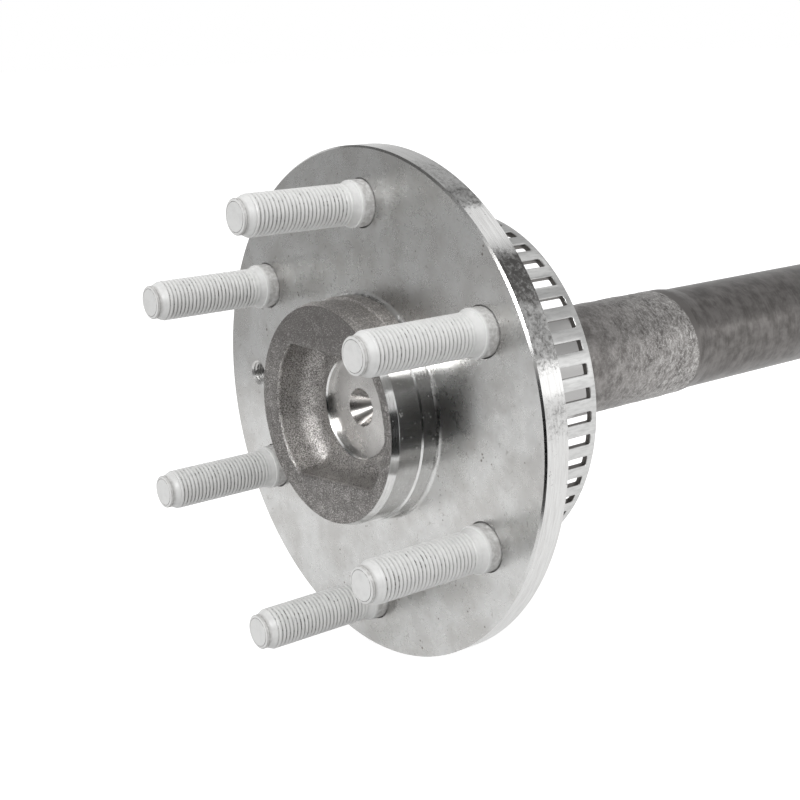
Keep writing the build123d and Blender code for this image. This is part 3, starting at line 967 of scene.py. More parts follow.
@dataclass
class Forging:
    """The shaft itself, from the hub's lathe centre to the button. Millimetres."""

    columns: int = 384
    flange_r: float = 88.7
    flange_thickness: float = 10.0
    flange_chamfer: float = 0.65
    hub_height: float = 18.3
    wheel_pilot_r: float = 38.3
    rotor_pilot_r: float = 39.0
    rotor_pilot_length: float = 6.8
    step_length: float = 0.4
    lead_length: float = 2.6
    lead_depth: float = 1.0
    root_fillet: float = 1.3
    pocket_r: float = 30.8
    pocket_offset: float = 2.0
    pocket_top: float = 21.8
    pocket_bottom: float = 22.8
    pocket_lean: float = 4.3
    pocket_depth: float = 13.5
    pocket_draft: float = 7.0
    floor_fillet: float = 7.5
    mouth_fillet: float = 1.1
    spot_r: float = 17.5
    spot_depth: float = 2.1
    spot_chamfer: float = 0.5
    centre_r: float = 6.7
    drill_r: float = 2.6
    drill_depth: float = 6.0
    shoulder_r: float = 44.0
    shoulder_length: float = 12.0
    shoulder_fillet: float = 4.0
    seat_r: float = 37.0
    seat_length: float = 7.5
    seat_chamfer: float = 1.0
    neck_root_r: float = 33.0
    neck_root_length: float = 55.0
    neck_r: float = 21.3
    neck_end: float = 150.0
    journal_r: float = 20.575
    journal_start: float = 156.0
    journal_end: float = 262.0
    bar_r: float = 17.5
    bar_start: float = 276.0
    length: float = 853.0
    button_r: float = 15.0
    button_length: float = 8.4
    groove_width: float = 5.2
    groove_r: float = 11.1
    teeth: int = 30
    pitch_r: float = 15.875
    addendum: float = 0.53
    dedendum: float = 0.67
    spline_length: float = 104.0
    spline_runout: float = 5.0
    spline_chamfer: float = 1.2
    spline_neck_r: float = 14.9
    spline_neck_length: float = 8.0
    bar_taper: float = 14.0
    inner_centre_r: float = 4.2
    inner_drill_r: float = 1.6
    inner_drill_depth: float = 5.0
    bolt_circle_r: float = 69.85
    stud_angles: tuple[float, ...] = (30.0, 90.0, 150.0, 210.0, 270.0, 330.0)
    stud_hole_r: float = 8.15
    stud_hole_chamfer: float = 0.3
    puller_angle: float = 180.0
    puller_r: float = 4.0
    puller_minor_r: float = 3.32
    puller_pitch: float = 1.25
    puller_mouth_r: float = 4.7
    puller_mouth_depth: float = 0.4
    hole_columns: int = 96
    tap_columns: int = 48
    centre_degrees: float = 30.0
    point_degrees: float = 59.0
    button_chamfer: float = 1.0
    face_relief: float = 0.13
    side_relief: float = 0.28
    neck_relief: float = 0.07
    neck_relief_start: float = 90.0
    patch_from: float = 49.0
    patch_to: float = 107.0
    patch_front_y: float = -14.6
    patch_back_y: float = 0.2
    sharp_degrees: float = 28.0

    def pocket_reach(self, angles: np.ndarray, inset: np.ndarray) -> np.ndarray:
        """How far the pocket's outline is from the axis: a circle off centre and two flats, softly joined.

        Args:
            angles: Directions in radians.
            inset: How far each level's outline is drawn in from the mouth, in mm.

        Returns:
            Radii in mm, one row for each level.
        """
        s, c = np.sin(angles)[None, :], np.cos(angles)[None, :]
        inset = np.asarray(inset, float)[:, None]
        off = self.pocket_offset
        lean = math.radians(self.pocket_lean)
        disc = off * c + np.sqrt((self.pocket_r - inset) ** 2 - (off * s) ** 2)
        top = (self.pocket_top - inset) / np.maximum(s, 1e-3)
        facing = math.sin(lean) * c - math.cos(lean) * s
        reach = self.pocket_bottom * math.cos(lean) + off * math.sin(lean) - inset
        bottom = reach / np.maximum(facing, 1e-3)
        soft = 1.1
        out = disc
        for flat in (top, bottom):
            gap = np.clip(0.5 + 0.5 * (flat - out) / soft, 0.0, 1.0)
            out = flat * (1.0 - gap) + out * gap - soft * gap * (1.0 - gap)
        return out

    def pocket_rows(self, angles: np.ndarray) -> list[np.ndarray]:
        """Rows of the pocket's surface from the spot face's edge to the hub's face.

        Args:
            angles: Directions in radians.

        Returns:
            Arrays of points in mm.
        """
        draft = math.radians(self.pocket_draft)
        at_floor = self.pocket_depth * math.tan(draft)
        fillet, mouth = self.floor_fillet, self.mouth_fillet
        centre = fillet * (1.0 - math.sin(draft)) / math.cos(draft)
        t = np.linspace(0.0, math.pi / 2.0 - draft, 15)
        floor_flat = np.linspace(14.0, centre, 10)[:-1]
        inset = list(floor_flat) + list(centre - fillet * np.sin(t))
        height = [0.0] * len(floor_flat) + list(fillet * (1.0 - np.cos(t)))
        edge = mouth * (1.0 - math.sin(draft)) / math.cos(draft)
        top = self.pocket_depth
        wall_end = top - mouth * (1.0 - math.sin(draft))
        wall = np.linspace(height[-1], wall_end, 11)[1:]
        inset += list(-wall * math.tan(draft))
        height += list(wall)
        mouth_inset = -top * math.tan(draft) - edge
        turn = np.linspace(draft, math.pi / 2.0, 6)[1:]
        inset += list(mouth_inset + mouth * np.cos(turn))
        height += list(top - mouth + mouth * np.sin(turn))
        reach = self.pocket_reach(angles, np.array(inset) + at_floor)
        heights = np.array(height)[:, None] * np.ones(len(angles))
        limit = self.spot_r + self.spot_chamfer
        count = 34
        out_r = np.empty((count, len(angles)))
        out_h = np.empty((count, len(angles)))
        for i in range(len(angles)):
            r, h = np.maximum.accumulate(reach[:, i]), heights[:, i]
            travel = np.concatenate([[0.0], np.cumsum(np.hypot(np.diff(r), np.diff(h)))])
            first = float(np.interp(limit, r, travel))
            marks = np.linspace(first, travel[-1], count)
            out_r[:, i] = np.maximum(np.interp(marks, travel, r), limit)
            out_h[:, i] = np.interp(marks, travel, h)
        floor_y = self.pocket_depth - self.hub_height
        return [ring_row(r, floor_y - h, angles) for r, h in zip(out_r, out_h)]

    def roughened(self, row: np.ndarray, amount: float, seed: int, inward: bool = False) -> np.ndarray:
        """Move a row of a forged surface by soft random relief.

        Args:
            row: The row's points in mm.
            amount: The relief's height in mm.
            seed: The seed of its random draws.
            inward: Whether it only goes into the metal, towards the axis.

        Returns:
            The moved row.
        """
        relief = 0.75 * soft_noise(row, 9.0, 3.0, seed) + 0.35 * soft_noise(row, 2.4, 1.2, seed + 1)
        moved = row.copy()
        if inward:
            radius = np.hypot(row[:, 0], row[:, 2])
            away = amount * (np.abs(relief) + 0.6)
            moved[:, 0] -= away * row[:, 0] / radius
            moved[:, 2] -= away * row[:, 2] / radius
        else:
            moved[:, 1] += amount * relief
        return moved

    def hub(self, strip: Strip, angles: np.ndarray) -> None:
        """Add the lathe centre, spot face, pocket, hub face and the two pilots.

        Args:
            strip: What the rows are added to.
            angles: The rows' angles in radians.
        """
        face_y = -self.hub_height
        floor_y = face_y + self.pocket_depth
        spot_y = floor_y + self.spot_depth
        cone_y = spot_y + (self.centre_r - self.drill_r) / math.tan(math.radians(self.centre_degrees))
        bore_end = cone_y + self.drill_depth
        point = self.drill_r / math.tan(math.radians(self.point_degrees))
        turned, forged, pilot = Face.SPOT.value, Face.FORGED.value, Face.PILOT.value
        strip.revolve([(0.0, bore_end + point)], angles)
        strip.revolve([(self.drill_r, bore_end), (self.drill_r, cone_y)], angles, pilot)
        strip.revolve(along((self.drill_r, cone_y), (self.centre_r, spot_y), 1.6), angles, turned)
        strip.revolve(along((self.centre_r, spot_y), (self.spot_r, spot_y), 1.8), angles, turned)
        chamfer_y = floor_y + self.spot_chamfer
        strip.revolve(along((self.spot_r, spot_y), (self.spot_r, chamfer_y), 1.0), angles, pilot)
        strip.revolve([(self.spot_r + self.spot_chamfer, floor_y)], angles, pilot)
        for place, row in enumerate(self.pocket_rows(angles)):
            relief = self.face_relief * min(1.0, place / 2.0)
            strip.add(self.roughened(row, relief, 3), pilot if place == 0 else forged)
        edge_r = self.wheel_pilot_r - self.lead_depth
        inner = strip.points[-1]
        start = np.hypot(inner[:, 0], inner[:, 2])
        for share in np.linspace(0.0, 1.0, 10)[1:]:
            row = ring_row(start + (edge_r - start) * share, face_y, angles)
            relief = self.face_relief * min(1.0, (1.0 - share) * 4.0)
            strip.add(self.roughened(row, relief, 3), forged)
        lead = (self.wheel_pilot_r, face_y + self.lead_length)
        step = (self.rotor_pilot_r, self.step_length - self.rotor_pilot_length)
        fillet = self.root_fillet
        outline = [
            *along((edge_r, face_y), lead, 1.0),
            *along(lead, (self.wheel_pilot_r, -self.rotor_pilot_length), 0.9),
            step,
            *along(step, (self.rotor_pilot_r, -fillet), 0.9),
            *around((self.rotor_pilot_r + fillet, -fillet), fillet, 180.0, 90.0, 6),
        ]
        degrees = np.degrees(angles)
        patch_sides = np.clip((degrees - self.patch_from) / 5.0, 0.0, 1.0)
        patch_sides *= np.clip((self.patch_to - degrees) / 6.0, 0.0, 1.0)
        for r, y in outline:
            row = ring_row(r, y, angles)
            front = np.clip((y - self.patch_front_y) / 1.2, 0.0, 1.0)
            patch = patch_sides * (front * np.clip(self.patch_back_y - y, 0.0, 1.0))
            rough = self.roughened(row, self.side_relief, 11, inward=True)
            finish = Face.PILOT if r < self.rotor_pilot_r + 0.01 else Face.TURNED
            strip.add(row + (rough - row) * patch[:, None], finish.value)

    def flange(self, strip: Strip, angles: np.ndarray) -> None:
        """Add the wheel face, the rim and the flange's back down to the ring's seat.

        Args:
            strip: What the rows are added to.
            angles: The rows' angles in radians.
        """
        turned, rim, back = Face.TURNED.value, Face.RIM.value, Face.BACK.value
        chamfer, thick = self.flange_chamfer, self.flange_thickness
        edge_r = self.flange_r - chamfer
        front = (self.flange_r, chamfer)
        strip.revolve(along((self.rotor_pilot_r + self.root_fillet, 0.0), (edge_r, 0.0), 3.0), angles, turned)
        strip.revolve([front], angles, turned)
        strip.revolve(along(front, (self.flange_r, thick - chamfer), 2.2), angles, rim)
        strip.revolve([(edge_r, thick)], angles, turned)
        root = self.shoulder_r + self.shoulder_fillet
        root_y = thick + self.shoulder_fillet
        shoulder_y = thick + self.shoulder_length
        seat_end = shoulder_y + self.seat_length
        strip.revolve(along((edge_r, thick), (root, thick), 6.0), angles, turned)
        outline = [
            *around((root, root_y), self.shoulder_fillet, 270.0, 180.0, 6),
            *along((self.shoulder_r, root_y), (self.shoulder_r, shoulder_y), 4.0),
            *along((self.shoulder_r, shoulder_y), (self.seat_r, shoulder_y), 7.0),
            *along((self.seat_r, shoulder_y), (self.seat_r, seat_end - self.seat_chamfer), 4.0),
            (self.seat_r - self.seat_chamfer, seat_end),
            (self.neck_root_r, seat_end),
        ]
        strip.revolve(outline, angles, back)

    def neck(self, strip: Strip, angles: np.ndarray) -> None:
        """Add the forged neck, the bearing journal and the bar.

        Args:
            strip: What the rows are added to.
            angles: The rows' angles in radians.
        """
        start_y = self.flange_thickness + self.shoulder_length + self.seat_length
        end_y = start_y + self.neck_root_length
        fall = self.neck_root_r - self.neck_r
        sweep = (self.neck_root_length**2 + fall**2) / (2.0 * fall)
        forged, journal = Face.NECK.value, Face.JOURNAL.value
        for y in np.linspace(start_y, end_y, 36):
            r = self.neck_r + sweep - math.sqrt(sweep**2 - (end_y - y) ** 2)
            strip.add(ring_row(r, y, angles), forged)
        for y in np.arange(end_y + 1.5, self.neck_end + 0.1, 1.5):
            row = ring_row(self.neck_r, y, angles)
            fade = np.clip((y - self.neck_relief_start) / 12.0, 0.0, 1.0)
            fade *= np.clip((self.neck_end - y) / 3.0, 0.0, 1.0)
            radial = row * np.array([1.0, 0.0, 1.0]) / self.neck_r
            relief = self.neck_relief * soft_noise(row, 14.0, 2.5, 21)
            strip.add(row + radial * (relief * fade)[:, None], forged)
        first, last = (self.journal_r, self.journal_start), (self.journal_r, self.journal_end)
        strip.revolve(along((self.neck_r, self.neck_end), first, 1.6), angles, journal)
        strip.revolve(along(first, last, 12.0, 0.6), angles, journal)
        bar_end = self.length - self.button_length - self.groove_width - self.spline_length
        bar_end -= self.spline_neck_length + self.bar_taper
        bar = (self.bar_r, self.bar_start)
        strip.revolve(along(last, bar, 5.0, 0.6), angles, forged)
        strip.revolve(along(bar, (self.bar_r, bar_end), 40.0, 0.8), angles, forged)

    def inner_end(self, strip: Strip) -> None:
        """Add the splines, the clip groove and the button with its lathe centre.

        Args:
            strip: What the rows are added to.
        """
        journal = Face.JOURNAL.value
        button_y = self.length - self.button_length
        spline_end = button_y - self.groove_width
        spline_start = spline_end - self.spline_length
        neck_start = spline_start - self.spline_neck_length
        major, root = self.pitch_r + self.addendum, self.pitch_r - self.dedendum
        half = math.pi * self.pitch_r / self.teeth / 2.0
        tip_half, root_half = (half - self.addendum) / major, (half + self.dedendum) / root
        step = TAU / self.teeth
        middle = (tip_half + root_half) / 2.0
        spread = np.array([-step / 2.0, -root_half, -middle, -tip_half, 0.0, tip_half, middle, root_half])
        height = np.array([root, root, (root + major) / 2.0, major, major, major, (root + major) / 2.0, root])
        angles = np.concatenate([spread + step * (tooth + 0.5) for tooth in range(self.teeth)])
        teeth_r = np.tile(height, self.teeth)
        bar = (self.bar_r, neck_start - self.bar_taper)
        strip.revolve(along(bar, (self.spline_neck_r, neck_start), 5.0), angles, journal)
        strip.revolve([(self.spline_neck_r, spline_start)], angles, journal)
        places = [
            *np.linspace(spline_start, spline_start + self.spline_runout, 6)[1:],
            *np.linspace(spline_start + self.spline_runout, spline_end - self.spline_chamfer, 8)[1:],
            spline_end - self.spline_chamfer / 2.0,
            spline_end,
        ]
        for y in places:
            rise = self.spline_neck_r + (major - self.spline_neck_r) * (y - spline_start) / self.spline_runout
            fall = major - max(0.0, y - spline_end + self.spline_chamfer)
            strip.add(ring_row(np.minimum(teeth_r, min(rise, fall)), y, angles), journal)
        cone = (self.inner_centre_r - self.inner_drill_r) / math.tan(math.radians(self.centre_degrees))
        bore = self.length - cone - self.inner_drill_depth
        outline = [
            (self.groove_r, spline_end),
            (self.groove_r, button_y),
            (self.button_r, button_y),
            (self.button_r, self.length - self.button_chamfer),
            (self.button_r - self.button_chamfer, self.length),
            (self.inner_centre_r, self.length),
            (self.inner_drill_r, self.length - cone),
            (self.inner_drill_r, bore),
            (0.0, bore - self.inner_drill_r / math.tan(math.radians(self.point_degrees))),
        ]
        strip.revolve(outline, angles, journal)

    def drilled(self, outline: list[tuple[float, float]], angle: float, strip: Strip) -> None:
        """Add a turned cutter on the bolt circle to a strip.

        Args:
            outline: Radius and y of each ring from one pole to the other, in mm.
            angle: Where on the bolt circle, in degrees.
            strip: What the cutter is added to.
        """
        turn = math.radians(angle)
        middle = np.array([self.bolt_circle_r * math.cos(turn), 0.0, self.bolt_circle_r * math.sin(turn)])
        first = len(strip.points)
        strip.starts.clear()
        strip.revolve(outline, circle_angles(self.hole_columns), Face.BORE.value)
        strip.points[first:] = [row + middle for row in strip.points[first:]]

    def holes(self, materials: list[bpy.types.Material]) -> list[bpy.types.Object]:
        """Make the cutters for the stud holes, the threaded hole and its countersinks.

        Args:
            materials: The forging's finishes.

        Returns:
            The stud holes' cutter, the tap and the countersinks' cutter, in the order of their use.
        """
        thick, reach = self.flange_thickness, 1.0
        first, second = Strip(), Strip()
        r, edge, end = self.stud_hole_r, self.stud_hole_chamfer, thick + reach
        hole = [(0.0, -edge), (r + 2 * edge, -edge), (r, edge), (r, end), (0.0, end)]
        for angle in self.stud_angles:
            self.drilled(hole, angle, first)
        wide, low = self.puller_mouth_r, self.puller_minor_r - 0.1
        slope = self.puller_mouth_depth / (wide - self.puller_r)
        for y, way in ((0.0, 1.0), (thick, -1.0)):
            floor = y + way * slope * (wide - low)
            outline = [(0.0, y - way), (wide + 1.0 / slope, y - way), (low, floor), (0.0, floor)]
            self.drilled(outline, self.puller_angle, second)
        thread = Thread(
            pitch=self.puller_pitch,
            major_r=self.puller_r,
            minor_r=self.puller_minor_r,
            start=-reach,
            end=end,
            tip_r=self.puller_minor_r,
            tip_slope=2.0,
            fill_r=self.puller_minor_r,
            fill_end=-reach,
            runout_start=thick,
            runout_full=thick + 0.8,
            end_r=self.puller_r,
            columns=self.tap_columns,
            rows_per_turn=8,
        )
        caps, ring = Strip(), circle_angles(self.tap_columns)
        caps.revolve([(0.0, -reach), (self.puller_minor_r, -reach)], ring)
        caps.starts.clear()
        caps.revolve([(self.puller_r, end), (0.0, end)], ring)
        blank = new_object("tap_caps", caps.mesh("tap_caps"))
        tap = thread.wound_on(blank, materials[Face.BORE.value], "tap")
        tap.data.transform(Matrix.Translation((-self.bolt_circle_r * MM, 0.0, 0.0)))
        finished(tap, 30.0)
        for polygon in tap.data.polygons:
            polygon.material_index = Face.BORE.value
        holes = new_object("hole_cutter", first.mesh("hole_cutter"))
        sinks = new_object("countersink_cutter", second.mesh("countersink_cutter"))
        for cutter in (holes, sinks):
            finished(cutter, 30.0)
        cutters = [holes, tap, sinks]
        for cutter in cutters:
            cutter.data.materials.clear()
            for material in materials:
                cutter.data.materials.append(material)
        return cutters

    def build(self, materials: list[bpy.types.Material]) -> bpy.types.Object:
        """Make the forging as one closed mesh with its holes.

        Args:
            materials: Its finishes, in the order of Face.

        Returns:
            The finished piece.
        """
        strip = Strip()
        wide, slim = circle_angles(self.columns), circle_angles(self.columns // 2)
        self.hub(strip, wide)
        self.flange(strip, wide)
        self.neck(strip, slim)
        self.inner_end(strip)
        solid = new_object("forging_blank", strip.mesh("forging_blank"))
        for material in materials:
            solid.data.materials.append(material)
        finished(solid, self.sharp_degrees)
        cutters = self.holes(materials)
        for place, cutter in enumerate(cutters):
            cut = solid.modifiers.new(f"cut_{place}", "BOOLEAN")
            cut.operation = "DIFFERENCE"
            cut.solver = "EXACT"
            cut.object = cutter
        piece = baked(solid, "shaft_forging")
        for cutter in cutters:
            bpy.data.objects.remove(cutter)
        finished(piece, self.sharp_degrees, 0.0005)
        placed(piece, Slot.SHAFT, "axle_shaft")
        return piece


# The studs


@dataclass
class WheelStud:
    """One pressed stud: head, serrated shank, plain shoulder, helical thread and dog end. Millimetres."""

    columns: int = 120
    reach: float = 48.9
    flat_r: float = 4.75
    dog_r: float = 5.9
    dog_length: float = 2.2
    thread_r: float = 7.0
    root_r: float = 6.3
    pitch: float = 1.5
    lead_length: float = 2.2
    shoulder_r: float = 7.95
    shoulder_reach: float = 4.9
    runout_length: float = 1.7
    crease_height: float = -1.0
    runout_r: float = 7.5
    shank_r: float = 7.75
    flange_thickness: float = 10.0
    tip_r: float = 8.13
    serration_height: float = 0.35
    serration_inset: float = 1.2
    head_r: float = 10.5
    head_thickness: float = 5.5
    head_chamfer: float = 0.9
    bolt_circle_r: float = 69.85
    end_crease: tuple[tuple[float, float], ...] = ((0.08, 0.14), (0.16, 0.14), (0.24, 0.04))
    dog_groove: tuple[tuple[float, float], ...] = ((0.0, 1.0), (0.1, 1.06), (0.1, 1.14), (0.0, 1.2))
    collar_edge: float = 0.25
    fill_depth: float = 0.3
    fill_length: float = 3.6
    turn_degrees: float = 137.0

    def blank(self, name: str) -> bpy.types.Object:
        """Turn the stud without its thread, open where the thread goes.

        Args:
            name: The blank's name.

        Returns:
            The blank on the Y axis, with its creases marked in the crest attribute.
        """
        angles = circle_angles(self.columns)
        strip = Strip()
        end_y, dog_y = -self.reach, -self.reach + self.dog_length
        foot, foot_y = self.flat_r + self.end_crease[-1][0], end_y + self.end_crease[-1][1]
        end = [
            (0.0, end_y),
            *along((0.0, end_y), (self.flat_r, end_y), 2.0, 0.2),
            *((self.flat_r + out, end_y + deep) for out, deep in self.end_crease),
            *along((foot, foot_y), (self.dog_r - 0.35, end_y + 0.2), 1.0, 0.1),
            *around((self.dog_r - 0.4, end_y + 0.6), 0.4, 285.0, 360.0, 5),
            *((self.dog_r - inset, end_y + deep) for inset, deep in self.dog_groove),
            (self.dog_r, dog_y),
        ]
        strip.revolve(end, angles)
        strip.starts.clear()
        edge, collar, reach = self.collar_edge, self.shoulder_r, self.shoulder_reach
        shoulder = [
            (self.runout_r, -reach),
            (collar - edge, -reach),
            *around((collar - edge, edge - reach), edge, 270.0, 360.0, 3),
            *along((collar, edge - reach), (collar, 0.0), 1.5),
            (self.shank_r, 0.0),
            (self.shank_r, self.serration_inset),
        ]
        strip.revolve(shoulder, angles)
        tooth = np.abs((np.arange(self.columns) % 4) - 2.0) / 2.0
        ridged = self.tip_r - self.serration_height * (1.0 - tooth)
        strip.add(ring_row(ridged, self.serration_inset, angles))
        strip.add(ring_row(ridged, self.flange_thickness, angles))
        head_y, rim = self.flange_thickness + self.head_thickness, self.head_r - self.head_chamfer
        head = [
            (self.head_r, self.flange_thickness),
            (self.head_r, head_y - self.head_chamfer),
            (rim, head_y),
            *along((rim, head_y), (1.0, head_y), 3.0),
            (0.0, head_y),
        ]
        strip.revolve(head, angles)
        mesh = strip.mesh(name)
        place = np.empty(3 * len(mesh.vertices))
        mesh.vertices.foreach_get("co", place)
        place = place.reshape(-1, 3) / MM
        deep = place[:, 1] - end_y
        radius = np.hypot(place[:, 0], place[:, 2])
        in_end = (deep > 0.13) & (deep < 0.15)
        in_groove = (deep < 1.3) & (np.abs(radius - self.dog_r + 0.1) < 0.02)
        height = mesh.attributes.new(CREST, "FLOAT", "POINT")
        height.data.foreach_set("value", np.where(in_end | in_groove, self.crease_height, 1.0))
        return new_object(name, mesh)

    def build(self, number: int, angle: float, material: bpy.types.Material) -> bpy.types.Object:
        """Make one stud in its hole.

        Args:
            number: Which stud, from 1.
            angle: Where it stands on the bolt circle, in degrees.
            material: Its coating.

        Returns:
            The finished piece.
        """
        thread = Thread(
            pitch=self.pitch,
            major_r=self.thread_r,
            minor_r=self.root_r,
            start=-self.reach + self.dog_length,
            end=-self.shoulder_reach,
            tip_r=self.dog_r,
            tip_slope=(self.thread_r - self.dog_r) / self.lead_length,
            fill_r=self.thread_r - self.fill_depth,
            fill_end=-self.reach + self.fill_length,
            runout_start=-self.shoulder_reach - self.runout_length - 3.0 * self.pitch,
            runout_full=-self.shoulder_reach - self.runout_length,
            end_r=self.runout_r,
            columns=self.columns,
        )
        piece = thread.wound_on(self.blank(f"stud_blank_{number}"), material, f"coated_stud_{number}")
        turn = math.radians(angle)
        middle = Matrix.Translation(
            (self.bolt_circle_r * MM * math.cos(turn), 0.0, self.bolt_circle_r * MM * math.sin(turn))
        )
        spin = math.radians(self.turn_degrees * number)
        piece.data.transform(middle @ Matrix.Rotation(spin, 4, "Y"))
        finished(piece, 40.0)
        placed(piece, Slot.STUD, f"wheel_stud_{number}")
        return piece


# The tone ring


@dataclass
class ToneRing:
    """The stamped ring with its windows, made from one sector. Millimetres."""

    outer_r: float = 62.3
    wall: float = 2.1
    seat_r: float = 37.0
    start_y: float = 22.0
    width: float = 26.3
    bend_r: float = 2.4
    windows: int = 49
    window_width: float = 3.6
    window_length: float = 13.6
    lip: float = 2.5
    corner_r: float = 0.5
    edge: float = 0.22
    back_edge: float = 0.1
    merge_mm: float = 0.003
    corners: tuple[tuple[int, int], ...] = ((1, 1), (-1, 1), (-1, -1), (1, -1))

    @property
    def window_y(self) -> float:
        """Where the windows' middle lies along the axis."""
        return self.start_y + self.width - self.lip - self.window_length / 2.0

    def on_wall(self, flat: np.ndarray, radius: float) -> np.ndarray:
        """Wrap flat points (across, along) round the wall at a radius."""
        return ring_row(radius, flat[:, 1], flat[:, 0] / self.outer_r)

    def window_loop(
        self, grow: float, per_corner: int = 4, per_end: int = 2, per_side: int = 6
    ) -> np.ndarray:
        """The window's outline, drawn out by some amount, as (across, along) points in order.

        Args:
            grow: How far the outline is drawn out, in mm.
            per_corner: Steps in each rounded corner.
            per_end: Steps on each short side.
            per_side: Steps on each long side.

        Returns:
            The loop's points.
        """
        radius = self.corner_r + grow
        half_w = self.window_width / 2.0 + grow - radius
        half_l = self.window_length / 2.0 + grow - radius

        def on_corner(place: int, share: float) -> np.ndarray:
            """The point at a share of the way round one of the corners."""
            side, up = self.corners[place]
            turn = math.radians(90.0 * (place + share))
            return np.array([side * half_w + radius * math.cos(turn), up * half_l + radius * math.sin(turn)])

        loop: list[np.ndarray] = []
        for place in range(4):
            loop += [on_corner(place, step / per_corner) for step in range(per_corner + 1)]
            count = per_side if place % 2 else per_end
            here, there = loop[-1], on_corner((place + 1) % 4, 0.0)
            loop += [here + (there - here) * step / count for step in range(1, count)]
        return np.array(loop) + np.array([0.0, self.window_y])

    def frame_loop(self, inner: np.ndarray) -> np.ndarray:
        """The sector's edge on the wall, one point for each point of the window's loop.

        Args:
            inner: The window's loop.

        Returns:
            Points on the sector's rectangle in the same order.
        """
        half_w = math.pi * self.outer_r / self.windows
        low = self.start_y + self.bend_r + self.wall
        high = self.start_y + self.width - self.edge
        out = inner.copy()
        wide, tall = self.window_width / 2.0, self.window_length / 2.0
        for i, (u, v) in enumerate(inner):
            up = (v - self.window_y) / tall
            if abs(up) >= 0.97:
                out[i] = (np.clip(u / (wide + self.edge), -1.0, 1.0) * half_w, high if up > 0 else low)
            else:
                out[i] = (math.copysign(half_w, u), v)
        places = [int(np.argmax(out @ np.array([s, 10.0 * t]))) for s, t in self.corners]
        for place, (s, t) in zip(places, self.corners):
            out[place] = (s * half_w, high if t > 0 else low)
        return out

    def sector(self) -> bpy.types.Mesh:
        """Make one sector of the ring, open at its two cut sides.

        Returns:
            The sector's mesh, round the +X direction.
        """
        points: list[np.ndarray] = []
        faces: list[tuple[int, ...]] = []
        total = 0

        def loop(row: np.ndarray) -> int:
            """Keep a row of points and return where it starts."""
            nonlocal total
            points.append(row)
            total += len(row)
            return total - len(row)

        inner_r = self.outer_r - self.wall
        rim = self.edge
        base = self.window_loop(rim)
        outside = self.frame_loop(base)
        count = len(base)
        levels = [(flat, self.outer_r) for flat in (outside, outside * 0.5 + base * 0.5, base)]
        for t in np.radians([30.0, 60.0, 90.0]):
            grow = rim * (1.0 - math.sin(t))
            levels.append((self.window_loop(grow), self.outer_r - rim * (1.0 - math.cos(t))))
        levels.append((self.window_loop(0.0), inner_r + self.back_edge))
        levels.append((self.window_loop(self.back_edge), inner_r))
        levels.append((outside, inner_r))
        starts = [loop(self.on_wall(flat, r)) for flat, r in levels]
        for a, b in zip(starts, starts[1:]):
            faces += [(a + i, a + (i + 1) % count, b + (i + 1) % count, b + i) for i in range(count)]
        half = math.pi / self.windows
        low, high = outside[:, 1].min(), outside[:, 1].max()
        for edge_y, outline in ((high, self.end_outline()), (low, self.web_outline())):
            picked = sorted(i for i in range(count) if abs(outside[i, 1] - edge_y) < 1e-6)
            turns = np.sort(outside[picked, 0]) / self.outer_r
            turns[0], turns[-1] = -half, half
            rows = [loop(ring_row(r, y, turns)) for r, y in outline]
            for a, b in zip(rows, rows[1:]):
                faces += [(a + i, a + i + 1, b + i + 1, b + i) for i in range(len(turns) - 1)]
        mesh = bpy.data.meshes.new("ring_sector")
        mesh.from_pydata((np.concatenate(points) * MM).tolist(), [], faces)
        return mesh

    def end_outline(self) -> list[tuple[float, float]]:
        """The wall's open end, from the outer face to the inner face."""
        end = self.start_y + self.width
        e, inner = self.edge, self.outer_r - self.wall
        return [
            (self.outer_r, end - e),
            *around((self.outer_r - e, end - e), e, 0.0, 90.0, 3),
            (inner + self.back_edge, end),
            (inner, end - self.back_edge),
            (inner, end - e),
        ]

    def web_outline(self) -> list[tuple[float, float]]:
        """The bend and the web, from the wall's outer face round to its inner face."""
        outer_bend = self.bend_r + self.wall
        inner = self.outer_r - self.wall
        web_y = self.start_y + self.wall
        join = self.start_y + outer_bend
        return [
            (self.outer_r, join),
            *around((self.outer_r - outer_bend, join), outer_bend, 0.0, -90.0, 8),
            *along((self.outer_r - outer_bend, self.start_y), (self.seat_r, self.start_y), 7.0),
            (self.seat_r, web_y),
            *along((self.seat_r, web_y), (inner - self.bend_r, web_y), 7.0),
            *around((inner - self.bend_r, join), self.bend_r, -90.0, 0.0, 6),
        ]

    def tree(self) -> Any:
        """Build the node tree that turns one sector into the whole ring.

        Returns:
            The node tree.
        """
        kinds = {"Windows": "Int", "Merge Distance": "Float", "Material": "Material"}
        tree = new_shape_tree("ring_of_windows", kinds)
        given = add_node(tree, "NodeGroupInput").outputs
        line = add_node(tree, "GeometryNodeMeshLine", given["Windows"], named={"Offset": (0.0, 0.0, 0.0)})
        step = add_node(tree, MATH, TAU, given["Windows"], operation="DIVIDE")
        number = add_node(tree, "GeometryNodeInputIndex")
        turn = add_node(tree, MATH, number, step, operation="MULTIPLY")
        way = add_node(tree, COMBINE, 0.0, turn, 0.0)
        each = {"Instance": given["Geometry"], "Rotation": way}
        copies = add_node(tree, "GeometryNodeInstanceOnPoints", line, named=each)
        real = add_node(tree, "GeometryNodeRealizeInstances", copies)
        apart = {"Distance": given["Merge Distance"]}
        merged = add_node(tree, "GeometryNodeMergeByDistance", real, named=apart)
        dressed = add_node(tree, "GeometryNodeSetMaterial", merged, named={"Material": given["Material"]})
        add_node(tree, "NodeGroupOutput", dressed)
        return tree

